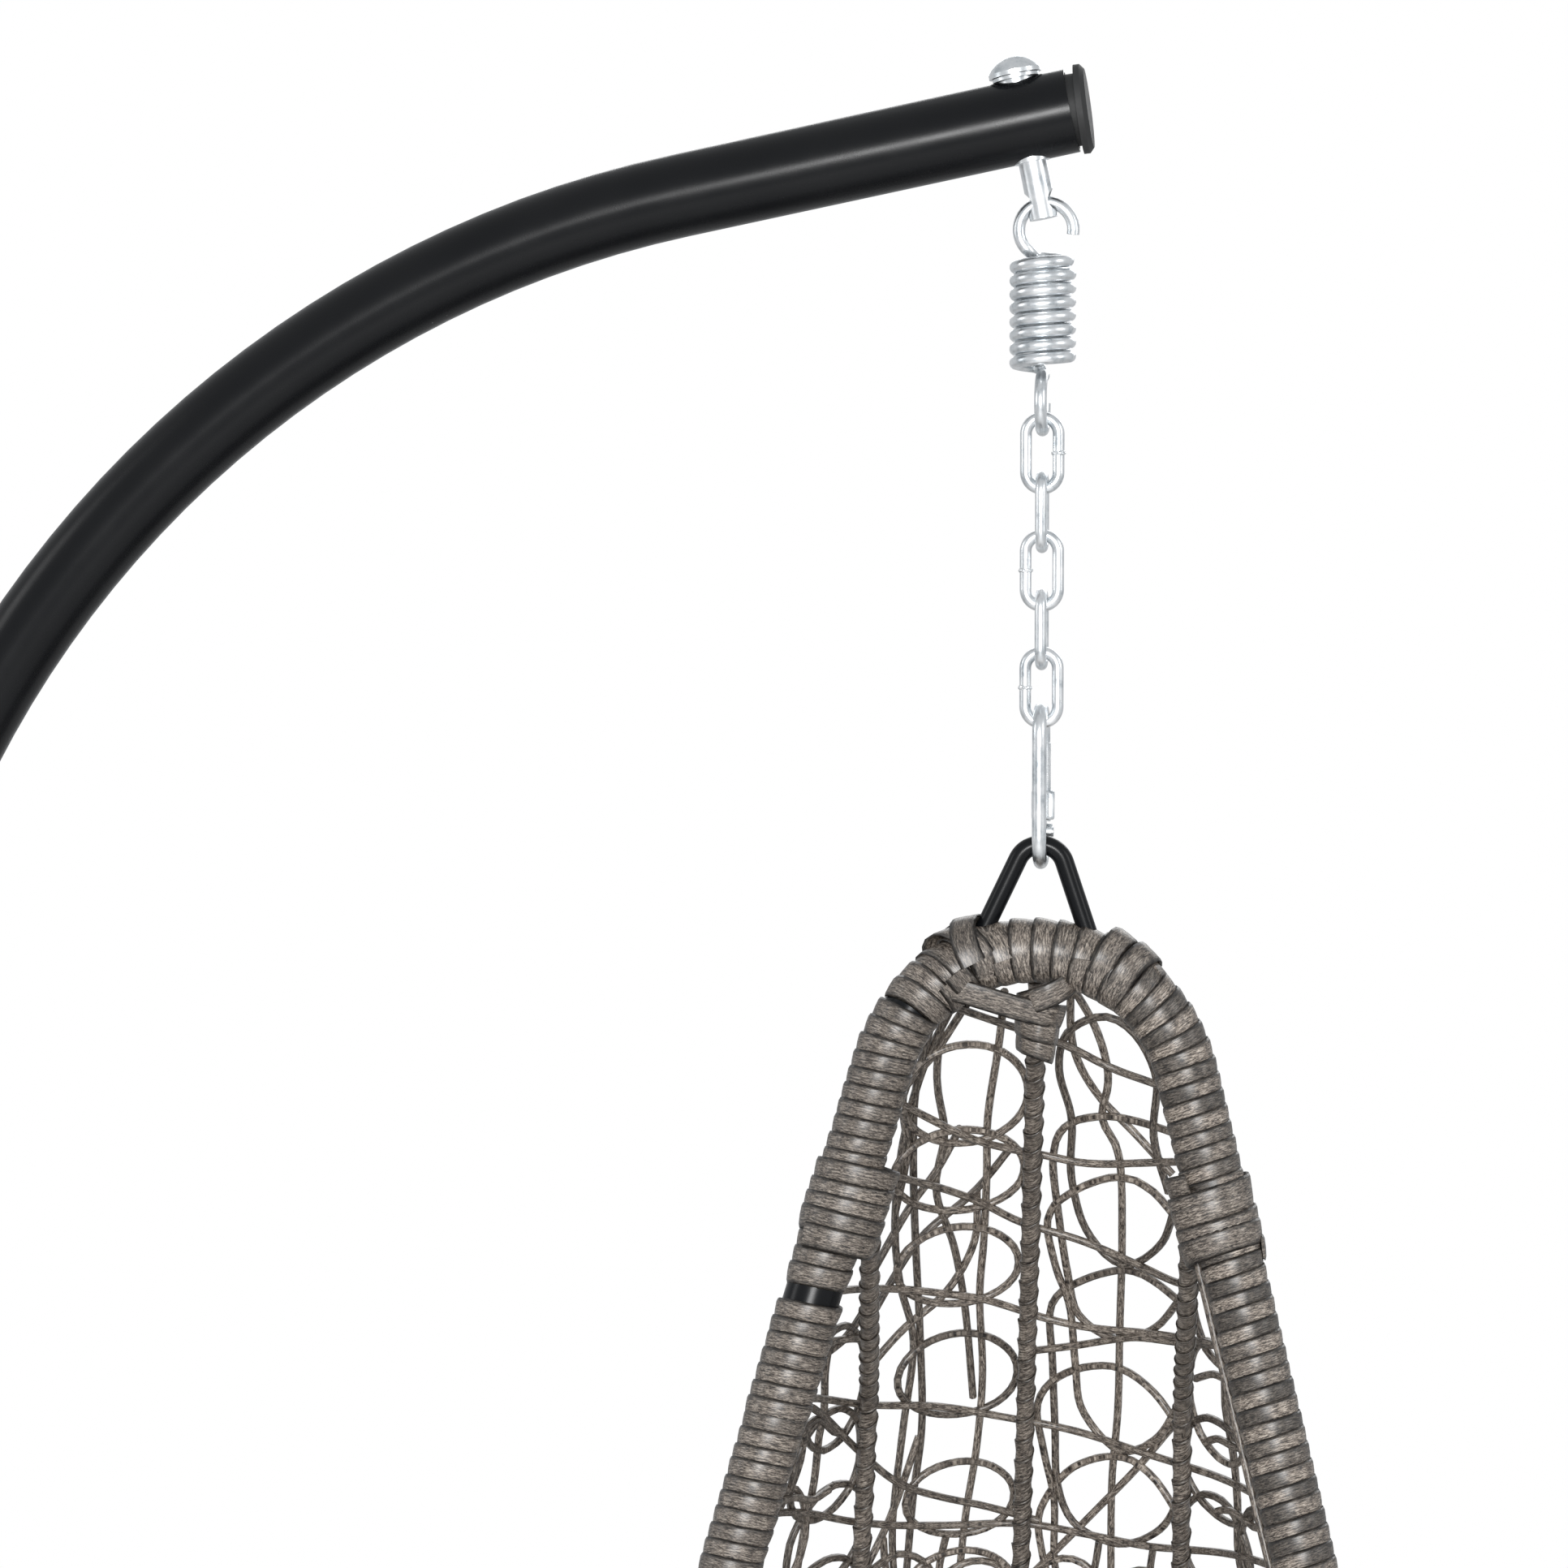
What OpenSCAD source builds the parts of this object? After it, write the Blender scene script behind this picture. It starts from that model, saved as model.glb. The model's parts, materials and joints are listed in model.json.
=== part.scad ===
// Hanging egg chair: a round floor base, a curved post with a reaching arm,
// a swivel pin, spring, chain and snap hook, and a wicker basket with cushions.
// Millimetres, +Z up. The arm reaches along +X, the basket opens towards -Y.
// The origin is on the floor, under the middle of the overall width and depth.

/* [Stand] */
// Outside diameter of the post and arm tube
tube_d = 50; // [40:1:60]
// Wall thickness of the post and arm tube
tube_wall = 2; // [1.5:0.5:3]
// Upward slope of the straight nose of the arm, in degrees
nose_slope = 11.55; // [5:0.05:18]
// Length of the straight nose of the arm
nose_len = 240; // [180:5:300]
// Height of the centre of the tube at the tip of the arm
tip_z = 1924; // [1850:1:2000]
// How far the tip of the tube lies beyond the hook line
tip_x = 17; // [10:1:30]
// Centreline radius of the bend of the arm
arm_bend_r = 662; // [600:1:720]
// Centreline radius of the slow curve of the post
post_bend_r = 3093; // [2600:1:3600]
// Outside radius of the floor ring
base_r = 525; // [480:5:560]
// Outside diameter of the floor ring tube
base_tube_d = 38; // [32:1:42]
// Thickness of the rubber feet under the ring
foot_h = 6; // [4:1:10]

/* [Suspension] */
// Shank diameter of the swivel pin
pin_d = 17; // [14:0.5:18]
// Head diameter of the swivel pin
pin_head_d = 31.5; // [28:0.5:34]
// Height of the centre of the eye through the swivel pin
eye_z = 1869.6; // [1860:0.1:1875]
// Wire diameter of the spring
spring_wire = 7.5; // [6.5:0.1:7.8]
// Outside diameter of the spring and of its end loops
spring_d = 40; // [38:0.5:42]
// Number of turns in the spring
spring_turns = 8; // [6:1:9]
// Pitch of the spring, wire centre to wire centre
spring_pitch = 8.1; // [8:0.1:9]
// Wire diameter of the chain
link_wire = 7; // [6:0.5:7]
// Overall width of a chain link
link_w = 26.5; // [25:0.5:28]
// Distance from one link to the next along the chain
link_pitch = 35; // [34:0.5:38]
// Wire diameter of the snap hook
hook_wire = 8.5; // [7.5:0.5:9]
// Length of the snap hook between its wire centres
hook_len = 91.6; // [88:0.1:96]
// Distance between the two sides of the snap hook, wire centre to wire centre
hook_w = 32; // [30:1:36]

/* [Basket] */
// Diameter of the bent rod that hangs the basket
hanger_d = 11.5; // [8:0.5:12]
// Diameter of the steel tube of the opening ring
ring_d = 34; // [30:1:36]
// Thickness of the wicker strip wound round the ring
strip_t = 2.4; // [1.5:0.1:3]
// Centreline radius of the top of the opening ring
ring_top_r = 94; // [85:1:105]
// Height of the top of the opening ring's centreline
ring_top_z = 1423; // [1415:1:1425]
// Height of the bottom of the opening ring's centreline
ring_low_z = 300; // [280:5:340]
// Half of the greatest width of the opening ring's centreline
ring_half_w = 306; // [290:1:330]
// How far the bottom of the ring comes forward
ring_forward = 300; // [260:5:320]
// How deep the back of the basket reaches behind the hook
back_depth = 335; // [310:5:345]
// Steel rod diameter of the ribs
rib_d = 8; // [6:1:9]
// Thickness of the wicker strip wound round the ribs
rib_strip_t = 1.5; // [1:0.1:2]
// Sideways lean of the hanging basket, in degrees
basket_lean = 1.5; // [0:0.1:2.5]
// Turn of the hanging basket about the vertical, in degrees
basket_turn = 4; // [-8:0.5:8]

/* [Hidden] */
$fn = 48;
gap = 0.3;                       // clearance between pieces that move
black = "#1b1c1e";
zinc = "#c9ccd0";
wicker = "#6f675f";

// Arm and post, in the plane of the arm, from the hook line
nose_dir = [cos(nose_slope), sin(nose_slope)];
bend_start = [tip_x, tip_z] - nose_len * nose_dir;
arm_centre = bend_start + arm_bend_r * [sin(nose_slope), -cos(nose_slope)];
post_centre = [arm_centre.x - arm_bend_r + post_bend_r, arm_centre.y];
post_back_x = arm_centre.x - arm_bend_r - tube_d / 2;
post_joint_z = arm_centre.y;
bolt_proud = 5.8;                // height of a bolt's head above the tube it holds
frame_shift = -(post_back_x + base_r + bolt_proud) / 2;
ring_mid_r = base_r - base_tube_d / 2;
ring_z = foot_h + base_tube_d / 2;
function post_angle(z) = asin((post_centre.y - z) / post_bend_r);
function post_x(z) = post_centre.x - post_bend_r * cos(post_angle(z));

// Swivel pin: its axis stands square to the nose and passes through the eye
loop_r = (spring_d - spring_wire) / 2;
eye_x = -1.4;
eye_below = (tip_z - eye_z) * cos(nose_slope) - (tip_x - eye_x) * sin(nose_slope);
pin_from_tip = (tip_x - eye_x) * cos(nose_slope) + (tip_z - eye_z) * sin(nose_slope);
pin_cross = [tip_x, tip_z] - pin_from_tip * nose_dir;
eye_r = 7.1;
pin_tail = 9.5;                  // pin below the centre of the eye
sleeve_r = 11;
washer_t = 2;

// Heights down the suspension, all at wire centres
upper_loop = [eye_x + loop_r * sin(nose_slope), eye_z - loop_r * cos(nose_slope)];
coil_top = upper_loop.y - loop_r - 2;
coil_low = coil_top - spring_turns * spring_pitch;
lower_loop_z = coil_low - loop_r - 3.4;
loop_low = lower_loop_z - loop_r;
link_len = link_pitch + link_wire + gap;
function link_top(i) = loop_low + (spring_wire + link_wire) / 2 + gap - i * link_pitch;
hook_top = link_top(4) - link_len + (link_wire + hook_wire) / 2 + gap;
hook_low = hook_top - hook_len;
hanger_top = hook_low + (hook_wire + hanger_d) / 2 + gap;
gate_y = hook_w / 2;
gate_pivot_z = hook_low + hook_w / 2 + 1;
gate_tip_z = hook_top - hook_w / 2 - 5;
gate_sleeve_z = gate_pivot_z + 7.5;
gate_sleeve_h = 17.5;
thread_r = hook_wire / 2 + 0.35;

// Opening ring: round top, straight sides, a flare and a round bottom
side_slope = 0.272;
side_angle = atan(side_slope);
arc_end = 90 - side_angle;
top_centre_z = ring_top_z - ring_top_r;
side_top = [ring_top_r * sin(arc_end), top_centre_z + ring_top_r * cos(arc_end)];
side_low_z = 1040;
side_low = [side_top.x + (side_top.y - side_low_z) * side_slope, side_low_z];
widest_z = 575;
flare = [side_low, side_low + 160 * [side_slope, -1],
         [ring_half_w, widest_z + 125], [ring_half_w, widest_z]];
function bezier(p, t) = pow(1 - t, 3) * p[0] + 3 * pow(1 - t, 2) * t * p[1]
  + 3 * (1 - t) * t * t * p[2] + pow(t, 3) * p[3];
// Half outline of the ring as [half width, height] for s from 0, top, to 1, bottom
s_arc = 0.15;
s_side = 0.4;
s_flare = 0.7;
function ring_half(s) =
  s < s_arc ? let (a = arc_end * s / s_arc)
    [ring_top_r * sin(a), top_centre_z + ring_top_r * cos(a)] :
  s < s_side ? side_top + (side_low - side_top) * (s - s_arc) / (s_side - s_arc) :
  s < s_flare ? bezier(flare, (s - s_side) / (s_flare - s_side)) :
  let (a = 90 * (s - s_flare) / (1 - s_flare))
    [ring_half_w * cos(a), widest_z - (widest_z - ring_low_z) * sin(a)];
function ring_y(z) = -ring_forward * pow((ring_top_z - z) / (ring_top_z - ring_low_z), 1.5);

// Spine of the basket, from the top of the ring round the back and under the seat
deepest_z = 760;
floor_z = 285;
spine_back = [[0, ring_top_z], [130, 1330], [back_depth, 1050], [back_depth, deepest_z]];
spine_seat = [[back_depth, deepest_z], [back_depth, 480], [200, floor_z], [-20, floor_z]];
spine_front = [[-20, floor_z], [-100, floor_z], [-200, 290], [-ring_forward, ring_low_z]];
s_back = 0.55;
s_seat = 0.85;
function spine(s) =
  s < s_back ? bezier(spine_back, s / s_back) :
  s < s_seat ? bezier(spine_seat, (s - s_back) / (s_seat - s_back)) :
  bezier(spine_front, (s - s_seat) / (1 - s_seat));
function unit(v) = v / norm(v);
function spine_out(s) =
  let (t = unit(spine(min(1, s + 0.01)) - spine(max(0, s - 0.01)))) [-t.y, t.x];
// A point of the basket's surface at s, phi degrees round from the spine,
// moved outwards by off
function shell(s, phi, off = 0) =
  let (r = ring_half(s), y0 = ring_y(r.y), p = spine(s) + off * spine_out(s),
       bulge = 1 + 0.28 * pow(s, 1.5) * cos(phi))
  [(r.x + off) * sin(phi) * bulge,
   y0 + (p.x - y0) * cos(phi),
   r.y + (p.y - r.y) * cos(phi)];
function shell_depth(s) = spine(s).x - ring_y(ring_half(s).y);

// Sweep of a round section along a path; ref is never along the path
function sweep_points(path, r, ref, sides, loop) =
  let (n = len(path))
  [for (i = [0:n - 1])
    let (a = loop ? path[(i + n - 1) % n] : path[max(0, i - 1)],
         b = loop ? path[(i + 1) % n] : path[min(n - 1, i + 1)],
         t = unit(b - a), u = unit(cross(t, ref)), v = cross(t, u))
    for (k = [0:sides - 1])
      path[i] + r * (cos(360 * k / sides) * u + sin(360 * k / sides) * v)];
module sweep(path, r, ref, sides = 8, loop = false) {
  n = len(path);
  walls = [for (i = [0:loop ? n - 1 : n - 2], k = [0:sides - 1])
    let (j = (i + 1) % n, m = (k + 1) % sides)
    [i * sides + k, j * sides + k, j * sides + m, i * sides + m]];
  ends = loop ? [] : [[for (k = [0:sides - 1]) k],
                      [for (k = [sides - 1:-1:0]) (n - 1) * sides + k]];
  polyhedron(sweep_points(path, r, ref, sides, loop), concat(walls, ends), convexity = 10);
}

module from_hook_line() { translate([frame_shift, 0, 0]) children(); }
module hung_basket() {
  from_hook_line()
    translate([0, 0, hook_low])
      rotate([0, basket_lean, basket_turn])
        translate([0, 0, -hook_low]) children();
}
// Turns a shape drawn in X and Z, as if in X and Y, to stand in the arm's plane
module in_arm_plane() { rotate([90, 0, 0]) children(); }
module arm_arc(centre, r, from, to, d) {
  translate([centre.x, 0, centre.y])
    in_arm_plane()
      rotate([0, 0, from])
        rotate_extrude(angle = to - from, $fn = 180) translate([r, 0]) circle(d = d);
}
module along_pin() {
  from_hook_line() translate([pin_cross.x, 0, pin_cross.y]) rotate([0, -nose_slope, 0])
    children();
}
module hex_bolt(len) {
  cylinder(r = 4, h = len);
  translate([0, 0, -5.3]) cylinder(r = 7.5, h = 5.3, $fn = 6);
}

// ---- stand ----
module ring_arc(from, to, d) {
  rotate([0, 0, from])
    rotate_extrude(angle = to - from, $fn = 180) translate([ring_mid_r, 0]) circle(d = d);
}
joiner_half = 9;                 // degrees that a joiner reaches into each half ring
module joiner_holes(r) {
  for (side = [90, -90], a = [-5, 5])
    rotate([0, 0, side + a]) translate([ring_mid_r, 0, -30]) cylinder(r = r, h = 80);
}
module ring_half_tube(from, to) {
  from_hook_line() translate([0, 0, ring_z])
    difference() {
      ring_arc(from, to, base_tube_d);
      ring_arc(from - 1, to + 1, base_tube_d - 2 * tube_wall);
      joiner_holes(4.2);
      rotate([0, 90, from < 0 ? 0 : 180]) cylinder(r = 4.2, h = base_r + 20);
    }
}
module base_ring_front() { color(black) ring_half_tube(-89.97, 89.97); }
module base_ring_rear() { color(black) ring_half_tube(90.03, 269.97); }
module ring_joiners() {
  color(black) from_hook_line() translate([0, 0, ring_z])
    difference() {
      for (side = [90, -90])
        ring_arc(side - joiner_half, side + joiner_half, base_tube_d - 2 * tube_wall - 0.2);
      ring_arc(0, 360, base_tube_d - 4 * tube_wall);
      joiner_holes(4.2);
    }
}
module ring_joiner_bolts() {
  color(zinc) from_hook_line() translate([0, 0, ring_z])
    for (side = [90, -90], a = [-5, 5])
      rotate([0, 0, side + a]) translate([ring_mid_r, 0, base_tube_d / 2 + 0.5])
        rotate([180, 0, 0]) hex_bolt(30);
}
module base_spine() {
  reach = ring_mid_r;
  color(black) from_hook_line() translate([0, 0, ring_z])
    difference() {
      translate([-reach, 0, 0]) rotate([0, 90, 0]) cylinder(d = base_tube_d - 4, h = 2 * reach);
      translate([-reach + 30, 0, 0]) rotate([0, 90, 0])
        cylinder(d = base_tube_d - 4 - 2 * tube_wall, h = 2 * reach - 60);
      rotate_extrude($fn = 180) translate([ring_mid_r, 0]) circle(d = base_tube_d + 0.2);
      translate([-reach, 0, 0]) rotate([0, 90, 0]) cylinder(r = 4.2, h = 2 * reach);
    }
}
module spine_bolts() {
  color(zinc) from_hook_line() translate([0, 0, ring_z])
    for (side = [0, 180])
      rotate([0, 0, side]) translate([base_r + 0.5, 0, 0]) rotate([0, -90, 0]) hex_bolt(62);
}
socket_low_z = ring_z + base_tube_d / 2 + 1;
socket_top_z = 240;
post_low_z = 74;
module post_socket() {
  color(black) from_hook_line()
    difference() {
      arm_arc(post_centre, post_bend_r, 180 + post_angle(socket_top_z),
              180 + post_angle(ring_z - 6), tube_d - 2 * tube_wall - 0.4);
      arm_arc(post_centre, post_bend_r, 179 + post_angle(socket_top_z),
              180 + post_angle(socket_low_z + 10), tube_d - 4 * tube_wall - 1);
      translate([0, 0, ring_z]) rotate_extrude($fn = 180) translate([ring_mid_r, 0])
        circle(d = base_tube_d + 0.2);
      translate([-ring_mid_r, 0, ring_z]) rotate([0, 90, 0])
        cylinder(d = base_tube_d - 3.8, h = 200);
      translate([-ring_mid_r - 40, 0, ring_z]) rotate([0, 90, 0]) cylinder(r = 4.6, h = 120);
      translate([-base_r - 30, 0, ring_z]) rotate([0, 90, 0]) cylinder(r = 8.6, h = 30.4);
      socket_bolt_holes();
    }
}
module socket_gussets() {
  color(black) from_hook_line()
    difference() {
      for (y = [-12, 12])
        translate([post_x(socket_low_z), y + 2.5, ring_z]) rotate([90, 0, 0])
          linear_extrude(5)
            polygon([[-6, 8], [110, 8], [110, 22], [20, 48], [-6, 48]]);
      arm_arc(post_centre, post_bend_r, 180 + post_angle(socket_top_z),
              180 + post_angle(ring_z - 20), tube_d - 2 * tube_wall);
      translate([0, 0, ring_z]) rotate_extrude($fn = 180) translate([ring_mid_r, 0])
        circle(d = base_tube_d + 0.4);
      translate([-ring_mid_r, 0, ring_z]) rotate([0, 90, 0])
        cylinder(d = base_tube_d - 3.6, h = 200);
    }
}
foot_angles = [20, 70, 110, 160, 200, 250, 290, 340];
module foot_pads() {
  color("#26272a") from_hook_line()
    difference() {
      for (a = foot_angles)
        rotate([0, 0, a]) translate([ring_mid_r, 0, 0]) cylinder(r = 17, h = foot_h + 5);
      translate([0, 0, ring_z]) rotate_extrude($fn = 180) translate([ring_mid_r, 0])
        circle(d = base_tube_d + 0.05);
    }
}
socket_bolt_z = [130, 205];
joint_bolt_z = [post_joint_z - 30, post_joint_z + 30];
bolt_z = concat(socket_bolt_z, joint_bolt_z);
function tube_x(z) = z < arm_centre.y ? post_x(z) :
  arm_centre.x - sqrt(arm_bend_r * arm_bend_r - pow(z - arm_centre.y, 2));
module cross_hole(z, r) {
  translate([tube_x(z), 60, z]) rotate([90, 0, 0]) cylinder(r = r, h = 120);
}
module socket_bolt_holes() { for (z = socket_bolt_z) cross_hole(z, 4.2); }
module joint_bolt_holes() { for (z = joint_bolt_z) cross_hole(z, 4.2); }
module lower_post() {
  color(black) from_hook_line()
    difference() {
      arm_arc(post_centre, post_bend_r, 180 + post_angle(post_joint_z - 0.2),
              180 + post_angle(post_low_z), tube_d);
      arm_arc(post_centre, post_bend_r, 179.5 + post_angle(post_joint_z),
              180.5 + post_angle(post_low_z), tube_d - 2 * tube_wall);
      socket_bolt_holes();
      joint_bolt_holes();
    }
}
// A straight inner tube, with room for the bend of the arm round it
joiner_half_len = 50;
joiner_d = tube_d - 2 * tube_wall - 2.4;
module post_joiner() {
  color(black) from_hook_line()
    difference() {
      translate([post_back_x + tube_d / 2 + 0.6, 0, post_joint_z - joiner_half_len])
        difference() {
          cylinder(d = joiner_d, h = 2 * joiner_half_len);
          translate([0, 0, -1])
            cylinder(d = joiner_d - 2 * tube_wall, h = 2 * joiner_half_len + 2);
        }
      joint_bolt_holes();
    }
}
// The bend and the nose share one frame, so that they meet exactly
module arm_run(d, extra) {
  translate([arm_centre.x, 0, arm_centre.y]) in_arm_plane() rotate([0, 0, 90 + nose_slope]) {
    rotate_extrude(angle = 90 - nose_slope - 0.02 + extra / 10, $fn = 180)
      translate([arm_bend_r, 0]) circle(d = d);
    translate([arm_bend_r, 0, 0]) rotate([90, 0, 0]) cylinder(d = d, h = nose_len + extra);
  }
}
module upper_arm() {
  color(black)
    difference() {
      from_hook_line() arm_run(tube_d, 0);
      from_hook_line() arm_run(tube_d - 2 * tube_wall, 5);
      from_hook_line() joint_bolt_holes();
      along_pin() translate([0, 0, -40]) cylinder(r = sleeve_r + 0.1, h = 80);
    }
}
module post_bolts() {
  color(zinc) from_hook_line()
    for (z = bolt_z)
      translate([tube_x(z), -tube_d / 2 - 0.8, z]) rotate([-90, 0, 0]) hex_bolt(60);
}
module post_nuts() {
  color(zinc) from_hook_line()
    for (z = bolt_z)
      translate([tube_x(z), tube_d / 2 + 0.8, z]) rotate([-90, 0, 0])
        difference() {
          union() {
            cylinder(r = 7.5, h = 6, $fn = 6);
            translate([0, 0, 6]) intersection() {
              sphere(r = 6);
              cylinder(r = 6, h = 6);
            }
          }
          translate([0, 0, -1]) cylinder(r = 4.05, h = 10.6);
        }
}
cap_tilt = 4;                    // the cap is not pushed home and sits askew
module arm_end_cap() {
  color("#2a2b2d") from_hook_line() translate([tip_x, 0, tip_z])
    rotate([0, 90 - nose_slope + cap_tilt, 0])
      difference() {
        union() {
          translate([0, 0, 4]) cylinder(d = tube_d + 3, h = 3.6);
          translate([0, 0, 7.6]) cylinder(d1 = tube_d + 3, d2 = tube_d - 3, h = 2.6);
          translate([0, 0, -11]) cylinder(d = tube_d - 2 * tube_wall - 3, h = 16);
        }
        translate([0, 0, -12]) cylinder(d = tube_d - 2 * tube_wall - 7, h = 15);
      }
}
module pin_sleeve() {
  color(zinc) along_pin()
    difference() {
      translate([0, 0, -tube_d / 2]) cylinder(r = sleeve_r, h = tube_d);
      translate([0, 0, -40]) cylinder(r = pin_d / 2 + 0.05, h = 80);
    }
}
module pin_washer() {
  color(zinc) along_pin() translate([0, 0, tube_d / 2 + 0.1])
    difference() {
      cylinder(r = 14, h = washer_t);
      translate([0, 0, -1]) cylinder(r = pin_d / 2 + 0.4, h = washer_t + 2);
    }
}

// ---- suspension ----
module swivel_pin() {
  seat = tube_d / 2 + washer_t + 0.4;
  rim_t = 2.5;
  dome_h = 9;
  dome_r = (pow(pin_head_d / 2, 2) + dome_h * dome_h) / (2 * dome_h);
  color(zinc) along_pin()
    difference() {
      union() {
        translate([0, 0, -eye_below - pin_tail]) cylinder(d = pin_d, h = eye_below + pin_tail + seat);
        translate([0, 0, seat]) cylinder(d = pin_head_d, h = rim_t);
        intersection() {
          translate([0, 0, seat + rim_t + dome_h - dome_r]) sphere(r = dome_r);
          translate([0, 0, seat + rim_t]) cylinder(d = pin_head_d, h = dome_h + 1);
        }
      }
      translate([-30, 0, -eye_below]) rotate([0, 90, 0]) cylinder(r = eye_r, h = 60);
    }
}
module wire_loop(from, to) {
  rotate([0, 0, from]) rotate_extrude(angle = to - from)
    translate([loop_r, 0]) circle(d = spring_wire);
}
module spring_upper_loop() {
  color(zinc) from_hook_line() translate([upper_loop.x, 0, upper_loop.y])
    in_arm_plane() wire_loop(-10, 222);
}
coil_steps = 20;                 // rings of the sweep in one turn
module spring_coil() {
  turns = spring_turns;
  path = [for (i = [0:turns * coil_steps])
    let (a = 360 * i / coil_steps)
    [loop_r * cos(a), loop_r * sin(a), coil_low + spring_pitch * i / coil_steps]];
  color(zinc) from_hook_line() sweep(path, spring_wire / 2, [0, 0, 1]);
}
module spring_lower_loop() {
  color(zinc) from_hook_line() translate([0, 0, lower_loop_z])
    rotate([0, 0, 90]) in_arm_plane() wire_loop(-228, 0);
}
module chain_link(i) {
  end_r = (link_w - link_wire) / 2;
  straight = link_len - 2 * end_r;
  color(zinc) from_hook_line() translate([0, 0, link_top(i) - end_r])
    rotate([0, 0, i % 2 == 0 ? 0 : 90]) in_arm_plane() {
      rotate_extrude(angle = 180) translate([end_r, 0]) circle(d = link_wire);
      translate([0, -straight, 0]) rotate([0, 0, 180])
        rotate_extrude(angle = 180) translate([end_r, 0]) circle(d = link_wire);
      for (x = [-end_r, end_r])
        translate([x, 0, 0]) rotate([90, 0, 0]) cylinder(d = link_wire, h = straight);
    }
}
module chain_link_1() { chain_link(0); }
module chain_link_2() { chain_link(1); }
module chain_link_3() { chain_link(2); }
module chain_link_4() { chain_link(3); }
module chain_link_5() { chain_link(4); }
module hook_bow(z, from) {
  translate([0, 0, z]) rotate([0, 0, 90]) in_arm_plane() rotate([0, 0, from])
    rotate_extrude(angle = 180) translate([hook_w / 2, 0]) circle(d = hook_wire);
}
module snap_hook_body() {
  bow_top = hook_top - hook_w / 2;
  bow_low = hook_low + hook_w / 2;
  color(zinc) from_hook_line()
    difference() {
      union() {
        hook_bow(bow_top, 0);
        hook_bow(bow_low, 180);
        translate([0, -hook_w / 2, bow_low]) cylinder(d = hook_wire, h = bow_top - bow_low);
        translate([0, gate_y, gate_tip_z + 0.4])
          cylinder(d = hook_wire, h = bow_top - gate_tip_z - 0.4);
        translate([-5.5, gate_y, gate_pivot_z]) rotate([0, 90, 0]) cylinder(r = 5, h = 11);
      }
      translate([-2.4, gate_y - 8, gate_pivot_z - 5.6]) cube([4.8, 16, 20]);
      translate([-8, gate_y, gate_pivot_z]) rotate([0, 90, 0]) cylinder(r = 1.9, h = 16);
    }
}
module gate_rivet() {
  color(zinc) from_hook_line() translate([-6.4, gate_y, gate_pivot_z])
    rotate([0, 90, 0]) {
      cylinder(r = 1.85, h = 12.8);
      for (x = [0, 11.9]) translate([0, 0, x]) cylinder(r = 3, h = 0.9);
    }
}
module snap_hook_gate() {
  color(zinc) from_hook_line() translate([0, gate_y, 0])
    difference() {
      union() {
        translate([0, 0, gate_pivot_z + 6.5])
          cylinder(r = thread_r, h = gate_tip_z - gate_pivot_z - 6.5);
        intersection() {
          translate([-2, -4.6, gate_pivot_z - 4.6]) cube([4, 9.2, 11.5]);
          union() {
            translate([-3, 0, gate_pivot_z]) rotate([0, 90, 0]) cylinder(r = 4.6, h = 6);
            translate([-3, -4, gate_pivot_z]) cube([6, 8, 7]);
          }
        }
      }
      translate([-8, 0, gate_pivot_z]) rotate([0, 90, 0]) cylinder(r = 1.95, h = 16);
    }
}
module lock_sleeve() {
  color(zinc) from_hook_line() translate([0, gate_y, gate_sleeve_z])
    difference() {
      cylinder(r = 7, h = gate_sleeve_h);
      translate([0, 0, -1]) cylinder(r = thread_r + 0.08, h = gate_sleeve_h + 2);
    }
}

// ---- basket ----
apex_r = 15;
left_leg = 24;                   // degrees from the vertical
right_leg = 20;
leg_len = 53;
hanger_steps = 12;
function apex_point(a) = [apex_r * sin(a), 0, hanger_top - apex_r + apex_r * cos(a)];
hanger_path = concat(
  [apex_point(left_leg - 90) + leg_len * [-sin(left_leg), 0, -cos(left_leg)]],
  [for (i = [0:hanger_steps])
    apex_point(left_leg - 90 + (180 - left_leg - right_leg) * i / hanger_steps)],
  [apex_point(90 - right_leg) + leg_len * [sin(right_leg), 0, -cos(right_leg)]]);
module hanger_rod() {
  color(black) hung_basket() sweep(hanger_path, hanger_d / 2, [0, 1, 0], 12);
}
ring_steps = 32;
ring_sides = 14;
winding_r = ring_d / 2 + strip_t;
function ring_point(s, side) = let (r = ring_half(s)) [side * r.x, ring_y(r.y), r.y];
ring_path = concat(
  [for (i = [0:ring_steps - 1]) ring_point(i / ring_steps, 1)],
  [for (i = [ring_steps:-1:1]) ring_point(i / ring_steps, -1)]);
module ring_tube() {
  color(black) hung_basket()
    difference() {
      sweep(ring_path, ring_d / 2, [0, 1, 0], ring_sides, true);
      sweep(ring_path, ring_d / 2 - 1.5, [0, 1, 0], 8, true);
    }
}
module ring_winding() {
  color(wicker) hung_basket()
    difference() {
      sweep(ring_path, winding_r, [0, 1, 0], ring_sides, true);
      sweep(ring_path, ring_d / 2 + 0.02, [0, 1, 0], ring_sides, true);
    }
}
// Side ribs start behind the ring, at its inner side, and run down the back
rib_start = 0.195;
rib_end = 0.975;
rib_r = rib_d / 2 + rib_strip_t;
rib_steps = 30;
function smooth(t) = let (c = max(0, min(1, t))) c * c * (3 - 2 * c);
function rib_x(s) = 95 + 45 * (s - rib_start);
function rib_phi(s) = asin(min(0.8, rib_x(s) / ring_half(s).x / (1 + 0.2 * pow(s, 1.5))));
function rib_point(s, side) =
  let (h = ring_half(s).y, near = [side * rib_x(s), ring_y(h) + winding_r + 1, h],
       far = shell(s, side * rib_phi(s)))
  near + (far - near) * smooth((s - rib_start) / 0.14);
function rib_path(side) = [for (i = [0:rib_steps])
  rib_point(rib_start + (rib_end - rib_start) * i / rib_steps, side)];
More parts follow.
